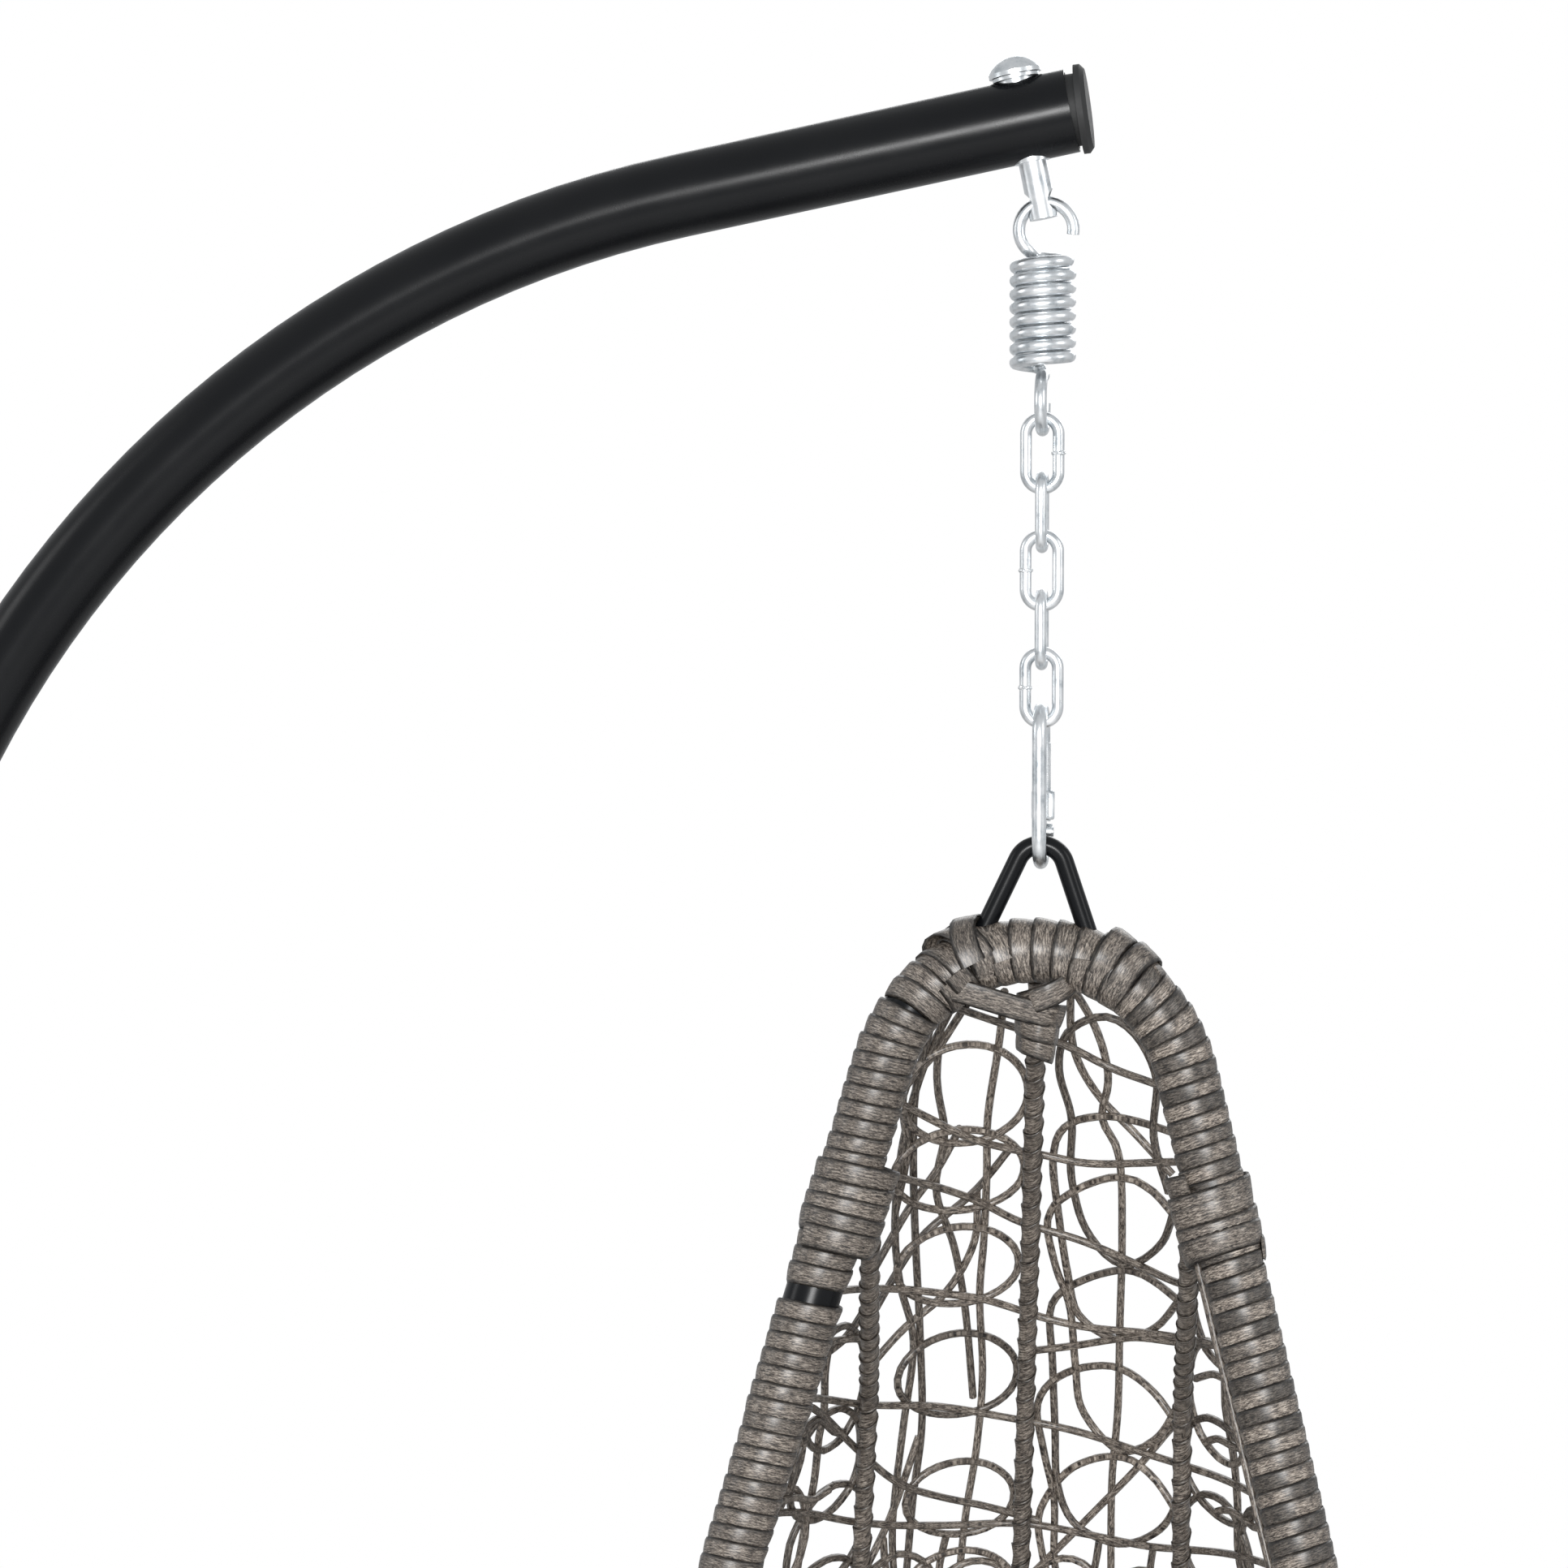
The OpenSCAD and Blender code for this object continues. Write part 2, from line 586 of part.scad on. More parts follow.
centre_start = 0.055;
centre_path = [for (i = [0:rib_steps])
  shell(centre_start + (rib_end - centre_start) * i / rib_steps, 0)];
module rib(path) {
  color(black) hung_basket() sweep(path, rib_d / 2, [1, 0, 0]);
}
module rib_winding(path) {
  color(wicker) hung_basket()
    difference() {
      sweep(path, rib_r, [1, 0, 0]);
      sweep([for (i = [0:len(path) - 1])
        i == 0 ? path[0] + (path[0] - path[1]) :
        i == len(path) - 1 ? path[i] + (path[i] - path[i - 1]) : path[i]],
        rib_d / 2 + 0.02, [1, 0, 0]);
    }
}
module centre_rib() { rib(centre_path); }
module left_rib() { rib(rib_path(-1)); }
module right_rib() { rib(rib_path(1)); }
module centre_rib_winding() { rib_winding(centre_path); }
module left_rib_winding() { rib_winding(rib_path(-1)); }
module right_rib_winding() { rib_winding(rib_path(1)); }
function binding_path(side) = [for (i = [0:4]) ring_point(0.205 + 0.035 * i / 4, side)];
module binding(side) {
  color(wicker) hung_basket()
    difference() {
      translate([-side * 2, 2, 0]) sweep(binding_path(side), winding_r + 4, [0, 1, 0], ring_sides);
      sweep(ring_path, winding_r + 0.02, [0, 1, 0], ring_sides, true);
    }
}
module left_binding() { binding(-1); }
module right_binding() { binding(1); }
module hoop(s, reach) {
  color(black) hung_basket()
    sweep([for (i = [-12:12]) shell(s, reach * i / 12, 17)], rib_d / 2, [0, 0, 1]);
}
module back_hoop() { hoop(0.47, 78); }
module seat_hoop() { hoop(0.72, 74); }
// The weave as one thin bowl, just outside the ribs
weave_in = 7.5;
weave_t = 5;
weave_s = [for (i = [0:32]) 0.12 + (0.93 - 0.12) * i / 32];
weave_n = 20;
function weave_reach(s) = acos(min(0.8, 27 / shell_depth(s)));
module basket_weave() {
  rows = len(weave_s);
  cols = weave_n + 1;
  points = [for (off = [weave_in, weave_in + weave_t], s = weave_s, k = [0:weave_n])
    shell(s, weave_reach(s) * (2 * k / weave_n - 1), off)];
  far = rows * cols;
  inner = [for (i = [0:rows - 2], k = [0:weave_n - 1])
    [i * cols + k, (i + 1) * cols + k, (i + 1) * cols + k + 1, i * cols + k + 1]];
  outer = [for (q = inner) [far + q[3], far + q[2], far + q[1], far + q[0]]];
  sides = [for (i = [0:rows - 2], e = [0, weave_n])
    let (a = i * cols + e, b = a + cols)
    e == 0 ? [a, a + far, b + far, b] : [b, b + far, a + far, a]];
  ends = [for (k = [0:weave_n - 1], i = [0, rows - 1])
    let (a = i * cols + k, b = a + 1)
    i == 0 ? [b, b + far, a + far, a] : [a, a + far, b + far, b]];
  color(wicker) hung_basket()
    polyhedron(points, concat(inner, outer, sides, ends), convexity = 10);
}
cushion_r = 222;
cushion_low = 303;
module seat_cushion() {
  rise = 0.0023;
  under = [for (i = [0:8]) let (x = cushion_r * i / 8) [x, cushion_low + rise * x * x]];
  over = [for (i = [8:-1:0]) let (x = cushion_r * i / 8)
    [x, 440 - 14 * pow(i / 8, 4)]];
  color("#4b4f55") hung_basket()
    rotate_extrude($fn = 64) polygon(concat(under, over));
}
module back_cushion() {
  color("#4b4f55") hung_basket() translate([0, 60, 545])
    rotate([0, 0, 90 - 37])
      rotate_extrude(angle = 74, $fn = 96)
        polygon([[150, 12], [162, 0], [212, 0], [224, 12], [224, 298], [212, 310],
                 [162, 310], [150, 298]]);
}

base_ring_front();
base_ring_rear();
ring_joiners();
ring_joiner_bolts();
base_spine();
spine_bolts();
post_socket();
socket_gussets();
foot_pads();
lower_post();
post_joiner();
upper_arm();
post_bolts();
post_nuts();
arm_end_cap();
pin_sleeve();
pin_washer();
swivel_pin();
spring_upper_loop();
spring_coil();
spring_lower_loop();
chain_link_1();
chain_link_2();
chain_link_3();
chain_link_4();
chain_link_5();
snap_hook_body();
gate_rivet();
snap_hook_gate();
lock_sleeve();
hanger_rod();
ring_tube();
ring_winding();
centre_rib();
left_rib();
right_rib();
centre_rib_winding();
left_rib_winding();
right_rib_winding();
left_binding();
right_binding();
back_hoop();
seat_hoop();
basket_weave();
seat_cushion();
back_cushion();
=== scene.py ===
import bmesh
import bpy
import json
import math
import random
from mathutils import Matrix, Vector, noise

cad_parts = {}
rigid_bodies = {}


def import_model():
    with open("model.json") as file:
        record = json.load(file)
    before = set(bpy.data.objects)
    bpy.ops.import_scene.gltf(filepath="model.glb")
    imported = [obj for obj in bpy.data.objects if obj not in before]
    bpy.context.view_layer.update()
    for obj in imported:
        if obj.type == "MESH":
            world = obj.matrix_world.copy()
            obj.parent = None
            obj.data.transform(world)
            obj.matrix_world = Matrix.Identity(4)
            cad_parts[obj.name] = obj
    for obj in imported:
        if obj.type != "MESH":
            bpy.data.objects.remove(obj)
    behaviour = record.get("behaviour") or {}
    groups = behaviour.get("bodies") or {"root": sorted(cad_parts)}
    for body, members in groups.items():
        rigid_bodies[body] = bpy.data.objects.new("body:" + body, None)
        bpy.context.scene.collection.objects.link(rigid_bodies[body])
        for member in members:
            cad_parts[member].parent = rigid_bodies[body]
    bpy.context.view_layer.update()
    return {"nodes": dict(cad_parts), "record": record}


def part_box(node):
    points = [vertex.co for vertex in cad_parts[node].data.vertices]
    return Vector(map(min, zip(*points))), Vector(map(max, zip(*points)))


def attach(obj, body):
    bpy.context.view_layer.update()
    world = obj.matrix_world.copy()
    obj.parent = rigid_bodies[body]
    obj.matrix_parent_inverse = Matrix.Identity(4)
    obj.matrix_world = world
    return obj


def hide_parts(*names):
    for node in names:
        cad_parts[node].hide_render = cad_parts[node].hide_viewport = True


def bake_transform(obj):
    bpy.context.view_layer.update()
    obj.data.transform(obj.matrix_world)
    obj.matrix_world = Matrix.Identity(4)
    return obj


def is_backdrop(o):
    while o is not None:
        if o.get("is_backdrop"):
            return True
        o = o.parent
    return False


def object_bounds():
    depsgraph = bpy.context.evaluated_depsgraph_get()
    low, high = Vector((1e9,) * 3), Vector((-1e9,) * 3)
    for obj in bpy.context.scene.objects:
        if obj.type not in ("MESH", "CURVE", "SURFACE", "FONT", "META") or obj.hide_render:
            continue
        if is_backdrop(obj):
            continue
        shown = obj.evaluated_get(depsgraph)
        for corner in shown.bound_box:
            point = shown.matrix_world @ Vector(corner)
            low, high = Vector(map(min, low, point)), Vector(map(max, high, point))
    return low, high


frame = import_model()
MM = 0.001


# ---- the object's own lines, as the part's source has them, in millimetres ----

link_low, link_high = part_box("chain_link_1")
HOOK_X = (link_low.x + link_high.x) / 2 / MM
NOSE_SLOPE = math.radians(11.55)
EYE = (-1.4, 1869.6)
SPRING_WIRE = 7.5
LOOP_R = (40.0 - SPRING_WIRE) / 2
TURNS, PITCH = 8, 8.1
UPPER_LOOP = (EYE[0] + LOOP_R * math.sin(NOSE_SLOPE), EYE[1] - LOOP_R * math.cos(NOSE_SLOPE))
COIL_TOP = UPPER_LOOP[1] - LOOP_R - 2
COIL_LOW = COIL_TOP - TURNS * PITCH
LOWER_LOOP_Z = COIL_LOW - LOOP_R - 3.4
HOOK_LOW = 1476.43
HANGER_TOP = HOOK_LOW + 10.3
LEAN, TURN = math.radians(1.5), math.radians(4.0)

SIDE_SLOPE = 0.272
RING_TOP_R, RING_TOP_Z, RING_LOW_Z = 94.0, 1423.0, 300.0
RING_HALF_W, RING_FORWARD = 306.0, 300.0
ARC_END = math.pi / 2 - math.atan(SIDE_SLOPE)
TOP_CENTRE_Z = RING_TOP_Z - RING_TOP_R
SIDE_TOP = Vector((RING_TOP_R * math.sin(ARC_END), TOP_CENTRE_Z + RING_TOP_R * math.cos(ARC_END)))
SIDE_LOW_Z, WIDEST_Z = 1040.0, 575.0
SIDE_LOW = Vector((SIDE_TOP.x + (SIDE_TOP.y - SIDE_LOW_Z) * SIDE_SLOPE, SIDE_LOW_Z))
FLARE = [SIDE_LOW, SIDE_LOW + 160 * Vector((SIDE_SLOPE, -1)),
         Vector((RING_HALF_W, WIDEST_Z + 125)), Vector((RING_HALF_W, WIDEST_Z))]
S_ARC, S_SIDE, S_FLARE = 0.15, 0.4, 0.7
DEEPEST_Z, FLOOR_Z, BACK_DEPTH = 760.0, 285.0, 335.0
SPINE = [[Vector(p) for p in run] for run in (
    ((0, RING_TOP_Z), (130, 1330), (BACK_DEPTH, 1050), (BACK_DEPTH, DEEPEST_Z)),
    ((BACK_DEPTH, DEEPEST_Z), (BACK_DEPTH, 480), (200, FLOOR_Z), (-20, FLOOR_Z)),
    ((-20, FLOOR_Z), (-100, FLOOR_Z), (-200, 290), (-RING_FORWARD, RING_LOW_Z)))]
S_BACK, S_SEAT = 0.55, 0.85
RING_TUBE_R = 17.0
WINDING_R = RING_TUBE_R + 2.4
RIB_START, RIB_END = 0.195, 0.975
CENTRE_START = 0.055
RIB_HEAD_X, RIB_SPREAD, RIB_JOIN = 95, 45, 0.14
SIDE_BULGE = 0.28


def bezier(p, t):
    u = 1 - t
    return u ** 3 * p[0] + 3 * u * u * t * p[1] + 3 * u * t * t * p[2] + t ** 3 * p[3]


def ring_half(s):
    """Half width and height of the opening ring, from 0 at its top to 1 at its bottom."""
    if s < S_ARC:
        a = ARC_END * s / S_ARC
        return Vector((RING_TOP_R * math.sin(a), TOP_CENTRE_Z + RING_TOP_R * math.cos(a)))
    if s < S_SIDE:
        return SIDE_TOP.lerp(SIDE_LOW, (s - S_ARC) / (S_SIDE - S_ARC))
    if s < S_FLARE:
        return bezier(FLARE, (s - S_SIDE) / (S_FLARE - S_SIDE))
    a = math.pi / 2 * (s - S_FLARE) / (1 - S_FLARE)
    return Vector((RING_HALF_W * math.cos(a), WIDEST_Z - (WIDEST_Z - RING_LOW_Z) * math.sin(a)))


def ring_y(z):
    return -RING_FORWARD * max(0.0, (RING_TOP_Z - z) / (RING_TOP_Z - RING_LOW_Z)) ** 1.5


def spine(s):
    if s < S_BACK:
        return bezier(SPINE[0], s / S_BACK)
    if s < S_SEAT:
        return bezier(SPINE[1], (s - S_BACK) / (S_SEAT - S_BACK))
    return bezier(SPINE[2], (s - S_SEAT) / (1 - S_SEAT))


def spine_out(s):
    t = (spine(min(1, s + 0.01)) - spine(max(0, s - 0.01))).normalized()
    return Vector((-t.y, t.x))


def bulge(s, phi):
    return 1 + SIDE_BULGE * s ** 1.5 * math.cos(phi)


def shell(s, phi, off=0.0):
    """A point of the basket's surface, phi round from the spine, moved outwards by off."""
    r = ring_half(s)
    y0 = ring_y(r.y)
    p = spine(s) + off * spine_out(s)
    return Vector(((r.x + off) * math.sin(phi) * bulge(s, phi),
                   y0 + (p.x - y0) * math.cos(phi), r.y + (p.y - r.y) * math.cos(phi)))


def smooth(t):
    t = max(0.0, min(1.0, t))
    return t * t * (3 - 2 * t)


def ring_point(s, side):
    r = ring_half(s)
    return Vector((side * r.x, ring_y(r.y), r.y))


def rib_x(s):
    """How far a side rib runs from the middle."""
    return RIB_HEAD_X + RIB_SPREAD * (s - RIB_START)


def rib_angle(s):
    return math.asin(min(0.8, rib_x(s) / ring_half(s).x / (1 + 0.2 * s ** 1.5)))


def rib_point(s, side):
    r = ring_half(s)
    near = Vector((side * rib_x(s), ring_y(r.y) + WINDING_R + 1, r.y))
    return near.lerp(shell(s, side * rib_angle(s)), smooth((s - RIB_START) / RIB_JOIN))


def shell_from_front(x, z, off):
    """The point of the back of the shell that is seen at x and z from straight in front."""
    low, high = 0.05, 0.8
    for _ in range(26):
        s = (low + high) / 2
        phi = 0.0
        for _ in range(4):
            wide = (ring_half(s).x + off) * bulge(s, phi)
            phi = math.asin(max(-0.97, min(0.97, x / wide)))
        if shell(s, phi, off).z > z:
            low = s
        else:
            high = s
    return shell(s, phi, off)


HANG = (Matrix.Translation((HOOK_X, 0, HOOK_LOW)) @ Matrix.Rotation(TURN, 4, "Z")
        @ Matrix.Rotation(LEAN, 4, "Y") @ Matrix.Translation((0, 0, -HOOK_LOW)))


def hung(p):
    """A point of the basket, drawn on the hook line in millimetres, where it hangs, in metres."""
    return (HANG @ Vector(p)) * MM


def stood(p):
    """A point drawn on the hook line in millimetres, in metres."""
    return Vector((p[0] + HOOK_X, p[1], p[2])) * MM


# ---- camera and light ----

CAMERA_PLACE, CAMERA_AIM, LENS = (200, -2700, 1690), (-155.5, 0, 1522), 103.7
FILL, GLOSS_FILL = 0.22, 0.38         # the room's light, and what it adds in reflections


def node_in(tree, kind, settings=None, **sockets):
    """A new node with its options set, and its inputs set or linked: i2 is the third input."""
    made = tree.nodes.new(kind)
    for key, value in (settings or {}).items():
        setattr(made, key, value)
    for key, value in sockets.items():
        numbered = key[0] == "i" and key[1:].isdigit()
        socket = made.inputs[int(key[1:]) if numbered else key.replace("_", " ")]
        if isinstance(value, bpy.types.NodeSocket):
            tree.links.new(value, socket)
        else:
            socket.default_value = value
    return made


def linked(name, data):
    made = bpy.data.objects.new(name, data)
    bpy.context.collection.objects.link(made)
    return made


def aimed(thing, target):
    thing.rotation_euler = (target - thing.location).to_track_quat("-Z", "Y").to_euler()


camera = linked("camera", bpy.data.cameras.new("camera"))
camera.data.sensor_width = 36
camera.data.lens = LENS
camera.data.clip_end = 100
camera.location = stood(CAMERA_PLACE)
aimed(camera, stood(CAMERA_AIM))
bpy.context.scene.camera = camera
bpy.context.scene.view_settings.view_transform = "Standard"

for name, place, target, size, power in (
        ("front_light", (0.30, -3.6, 2.05), (0.05, 0.0, 1.45), (1.2, 0.55), 118),
        ("right_light", (3.4, -1.2, 2.6), (0.1, 0.0, 1.3), (1.0, 1.8), 20),
        ("left_light", (-3.4, -0.8, 2.4), (0.0, 0.0, 1.3), (1.0, 1.8), 14),
        ("back_light", (0.4, 3.4, 3.0), (0.0, 0.0, 1.2), (3.0, 1.6), 40)):
    lamp = linked(name, bpy.data.lights.new(name, "AREA"))
    lamp.data.shape = "RECTANGLE"
    lamp.data.size, lamp.data.size_y = size
    lamp.data.energy = power
    lamp.location = place
    aimed(lamp, Vector(target))

world = bpy.data.worlds.new("studio")
bpy.context.scene.world = world
world.use_nodes = True
sky = world.node_tree
sky.nodes.clear()
ray = node_in(sky, "ShaderNodeLightPath").outputs
seen = node_in(sky, "ShaderNodeBackground", Color=(1, 1, 1, 1), Strength=1.0)
lift = node_in(sky, "ShaderNodeMath", {"operation": "MULTIPLY_ADD"}, i0=ray["Is Glossy Ray"],
               i1=GLOSS_FILL, i2=FILL)
lit = node_in(sky, "ShaderNodeBackground", Color=(0.96, 0.98, 1, 1), Strength=lift.outputs[0])
either = node_in(sky, "ShaderNodeMixShader", Fac=ray["Is Camera Ray"], i1=lit.outputs[0],
                 i2=seen.outputs[0])
node_in(sky, "ShaderNodeOutputWorld", Surface=either.outputs[0])


# ---- materials ----

class Sums:
    """Arithmetic in a node tree."""

    def maths(self, operation, a, b=0.0, c=0.0):
        return node_in(self.tree, "ShaderNodeMath", {"operation": operation},
                       i0=a, i1=b, i2=c).outputs[0]

    def plus(self, a, b):
        return self.maths("ADD", a, b)

    def less(self, a, b):
        return self.maths("SUBTRACT", a, b)

    def times(self, a, b, c=None):
        """a times b, plus c where there is one."""
        return self.maths("MULTIPLY", a, b) if c is None else self.maths("MULTIPLY_ADD", a, b, c)


class Shader(Sums):
    """A material's node tree, with short ways to add and join nodes."""

    def __init__(self, name, base, roughness, metallic=0.0, **sockets):
        self.material = bpy.data.materials.new(name)
        self.material.use_nodes = True
        self.tree = self.material.node_tree
        self.surface = self.tree.nodes["Principled BSDF"]
        self.surface.inputs["Base Color"].default_value = (*base, 1)
        self.surface.inputs["Roughness"].default_value = roughness
        self.surface.inputs["Metallic"].default_value = metallic
        for socket, value in sockets.items():
            self.surface.inputs[socket.replace("_", " ")].default_value = value
        self.material.diffuse_color = (*base, 1)

    def add(self, kind, settings=None, **sockets):
        return node_in(self.tree, "ShaderNode" + kind, settings, **sockets)

    def put(self, value, socket):
        self.tree.links.new(value, self.surface.inputs[socket])

    def place(self):
        return self.add("Mapping", Vector=self.add("TexCoord").outputs["Object"]).outputs[0]

    def noise(self, vector, scale, detail=2.0, roughness=0.5):
        return self.add("TexNoise", Vector=vector, Scale=scale, Detail=detail,
                        Roughness=roughness).outputs["Fac"]

    def ramp(self, value, *stops):
        made = self.add("ValToRGB", Fac=value)
        marks = made.color_ramp.elements
        while len(marks) < len(stops):
            marks.new(0.5)
        for mark, (at, colour) in zip(marks, stops):
            mark.position = at
            mark.color = (*colour, 1) if isinstance(colour, tuple) else (colour,) * 3 + (1,)
        return made.outputs["Color"]

    def blend(self, factor, a, b, kind="MIX"):
        a, b = ((*c, 1) if isinstance(c, tuple) else c for c in (a, b))
        return self.add("Mix", {"data_type": "RGBA", "blend_type": kind},
                        i0=factor, i6=a, i7=b).outputs[2]

    def rough(self, value, low, high):
        self.put(self.add("MapRange", Value=value, To_Min=low, To_Max=high).outputs[0], "Roughness")

    def bump(self, height, strength, distance):
        made = self.add("Bump", Height=height, Strength=strength, Distance=distance)
        self.put(made.outputs[0], "Normal")


def powder_coat():
    m = Shader("black_powder_coat", (0.004, 0.0045, 0.0055), 0.26, Specular_IOR_Level=0.22)
    at = m.place()
    fleck = m.add("TexVoronoi", {"feature": "F1"}, Vector=at, Scale=95.0)
    keep = m.maths("GREATER_THAN", m.noise(at, 31.0, 1.0), 0.66)
    speck = m.times(m.maths("LESS_THAN", fleck.outputs["Distance"], 0.055), keep)
    cloud = m.ramp(m.noise(at, 14.0, 4.0), (0.3, (0.0035, 0.004, 0.005)),
                   (0.75, (0.006, 0.0065, 0.0075)))
    m.put(m.blend(speck, cloud, (0.10, 0.10, 0.10)), "Base Color")
    m.rough(m.noise(at, 60.0, 5.0), 0.22, 0.32)
    m.bump(m.noise(at, 1500.0, 2.0), 0.10, 0.0002)
    return m.material


def zinc_plate():
    m = Shader("zinc_plate", (0.80, 0.82, 0.84), 0.26, 1.0)
    at = m.place()
    patch = m.noise(at, 90.0, 4.0, 0.62)
    m.put(m.ramp(patch, (0.30, (0.50, 0.54, 0.57)), (0.44, (0.76, 0.79, 0.81)),
                 (0.70, (0.93, 0.94, 0.95))), "Base Color")
    m.rough(m.noise(at, 160.0, 3.0), 0.22, 0.40)
    m.bump(m.noise(at, 420.0, 3.0), 0.05, 0.0004)
    return m.material


def wicker(name, streak_along, streak_across, relief, painted_seam_shade):
    """Plastic wicker: UV runs along the strand in metres, then across it from 0 to 1. The last
    argument is how dark the painted shade at each strip's edges goes.
    """
    m = Shader(name, (0.17, 0.145, 0.125), 0.4, Specular_IOR_Level=0.7)
    uv = m.add("UVMap", {"uv_map": "UVMap"}).outputs[0]
    lane = m.add("Mapping", Vector=uv, Scale=(streak_along, streak_across, 1)).outputs[0]
    coarse = m.noise(lane, 1.0, 4.0, 0.66)
    fine = m.noise(m.add("Mapping", Vector=uv, Location=(3.1, 7.7, 0),
                         Scale=(streak_along * 3.2, streak_across * 3.0, 1)).outputs[0],
                   1.0, 2.0, 0.6)
    grain = m.plus(m.times(coarse, 0.6), m.times(fine, 0.4))
    tone = m.ramp(grain, (0.41, (0.010, 0.008, 0.007)), (0.47, (0.070, 0.057, 0.047)),
                  (0.525, (0.190, 0.160, 0.134)), (0.61, (0.400, 0.355, 0.305)))
    shade = m.add("Attribute", {"attribute_name": "shade"}).outputs["Fac"]
    level = m.add("MapRange", Value=shade, To_Min=0.45, To_Max=1.5).outputs[0]
    side = m.add("SeparateXYZ", i0=uv).outputs[1]
    # painted shade: the colour darkens towards both edges of each strip, standing in for the shade
    # in the seams between turns and on the strips' rounded edges
    off_centre = m.maths("ABSOLUTE", m.times(side, 2.0, -1.0))
    edge = m.add("MapRange", {"interpolation_type": "SMOOTHSTEP"}, Value=off_centre,
                 From_Min=0.40, From_Max=1.0, To_Min=1.0, To_Max=painted_seam_shade).outputs[0]
    level = m.times(level, edge)
    grey = m.add("CombineColor", i0=level, i1=level, i2=level).outputs[0]
    m.put(m.blend(1.0, tone, grey, "MULTIPLY"), "Base Color")
    m.rough(fine, 0.30, 0.48)
    m.bump(grain, 0.35, relief)
    return m.material


def cloth(name, light, dark):
    m = Shader(name, light, 0.9, Specular_IOR_Level=0.25, Sheen_Weight=0.25, Sheen_Roughness=0.4)
    at = m.place()
    yarn = m.add("TexVoronoi", {"feature": "F1"}, Vector=at, Scale=620.0).outputs["Distance"]
    fuzz = m.noise(at, 900.0, 3.0, 0.7)
    weave = m.plus(m.times(yarn, 0.6), m.times(fuzz, 0.5))
    worn = m.noise(at, 9.0, 3.0)
    tone = m.ramp(weave, (0.25, light), (0.80, dark))
    m.put(m.blend(m.times(worn, 0.18), tone, dark), "Base Color")
    m.bump(weave, 0.5, 0.0006)
    return m.material


def moulded(name, base, low, high):
    m = Shader(name, base, (low + high) / 2)
    at = m.place()
    m.put(m.ramp(m.noise(at, 40.0, 4.0), (0.3, tuple(c * 0.8 for c in base)),
                 (0.7, tuple(c * 1.3 for c in base))), "Base Color")
    m.rough(m.noise(at, 150.0, 3.0), low, high)
    m.bump(m.noise(at, 900.0, 3.0), 0.15, 0.0003)
    return m.material


BLACK = powder_coat()
ZINC = zinc_plate()
# the last number is how dark the painted shade at each strip's edges goes: darkest on the ring,
# lighter on the ribs, none on the round strands
STRIP = wicker("wicker_strip", 170.0, 15.0, 0.0004, 0.16)
RIB_STRIP = wicker("wicker_strip_on_ribs", 170.0, 15.0, 0.0003, 0.45)
STRAND = wicker("wicker_strand", 150.0, 7.0, 0.0003, 1.0)
CLOTH = cloth("cushion_cloth", (0.30, 0.295, 0.29), (0.17, 0.168, 0.166))
PIPING = cloth("cushion_piping", (0.16, 0.158, 0.156), (0.10, 0.098, 0.097))
RUBBER = moulded("foot_rubber", (0.022, 0.022, 0.023), 0.6, 0.8)
CAP = moulded("cap_plastic", (0.014, 0.0145, 0.015), 0.55, 0.75)
FINISHES = {"black_powder_coat": BLACK, "zinc_plate": ZINC, "wicker_strip": STRIP,
            "wicker_strand": STRAND, "foot_rubber": RUBBER, "cap_plastic": CAP,
            "cushion_cloth": CLOTH}
for part in frame["record"]["subparts"]:
    data = frame["nodes"][part["node"]].data
    data.materials.clear()
    data.materials.append(FINISHES[part["material_slot"]])


# ---- geometry node trees ----

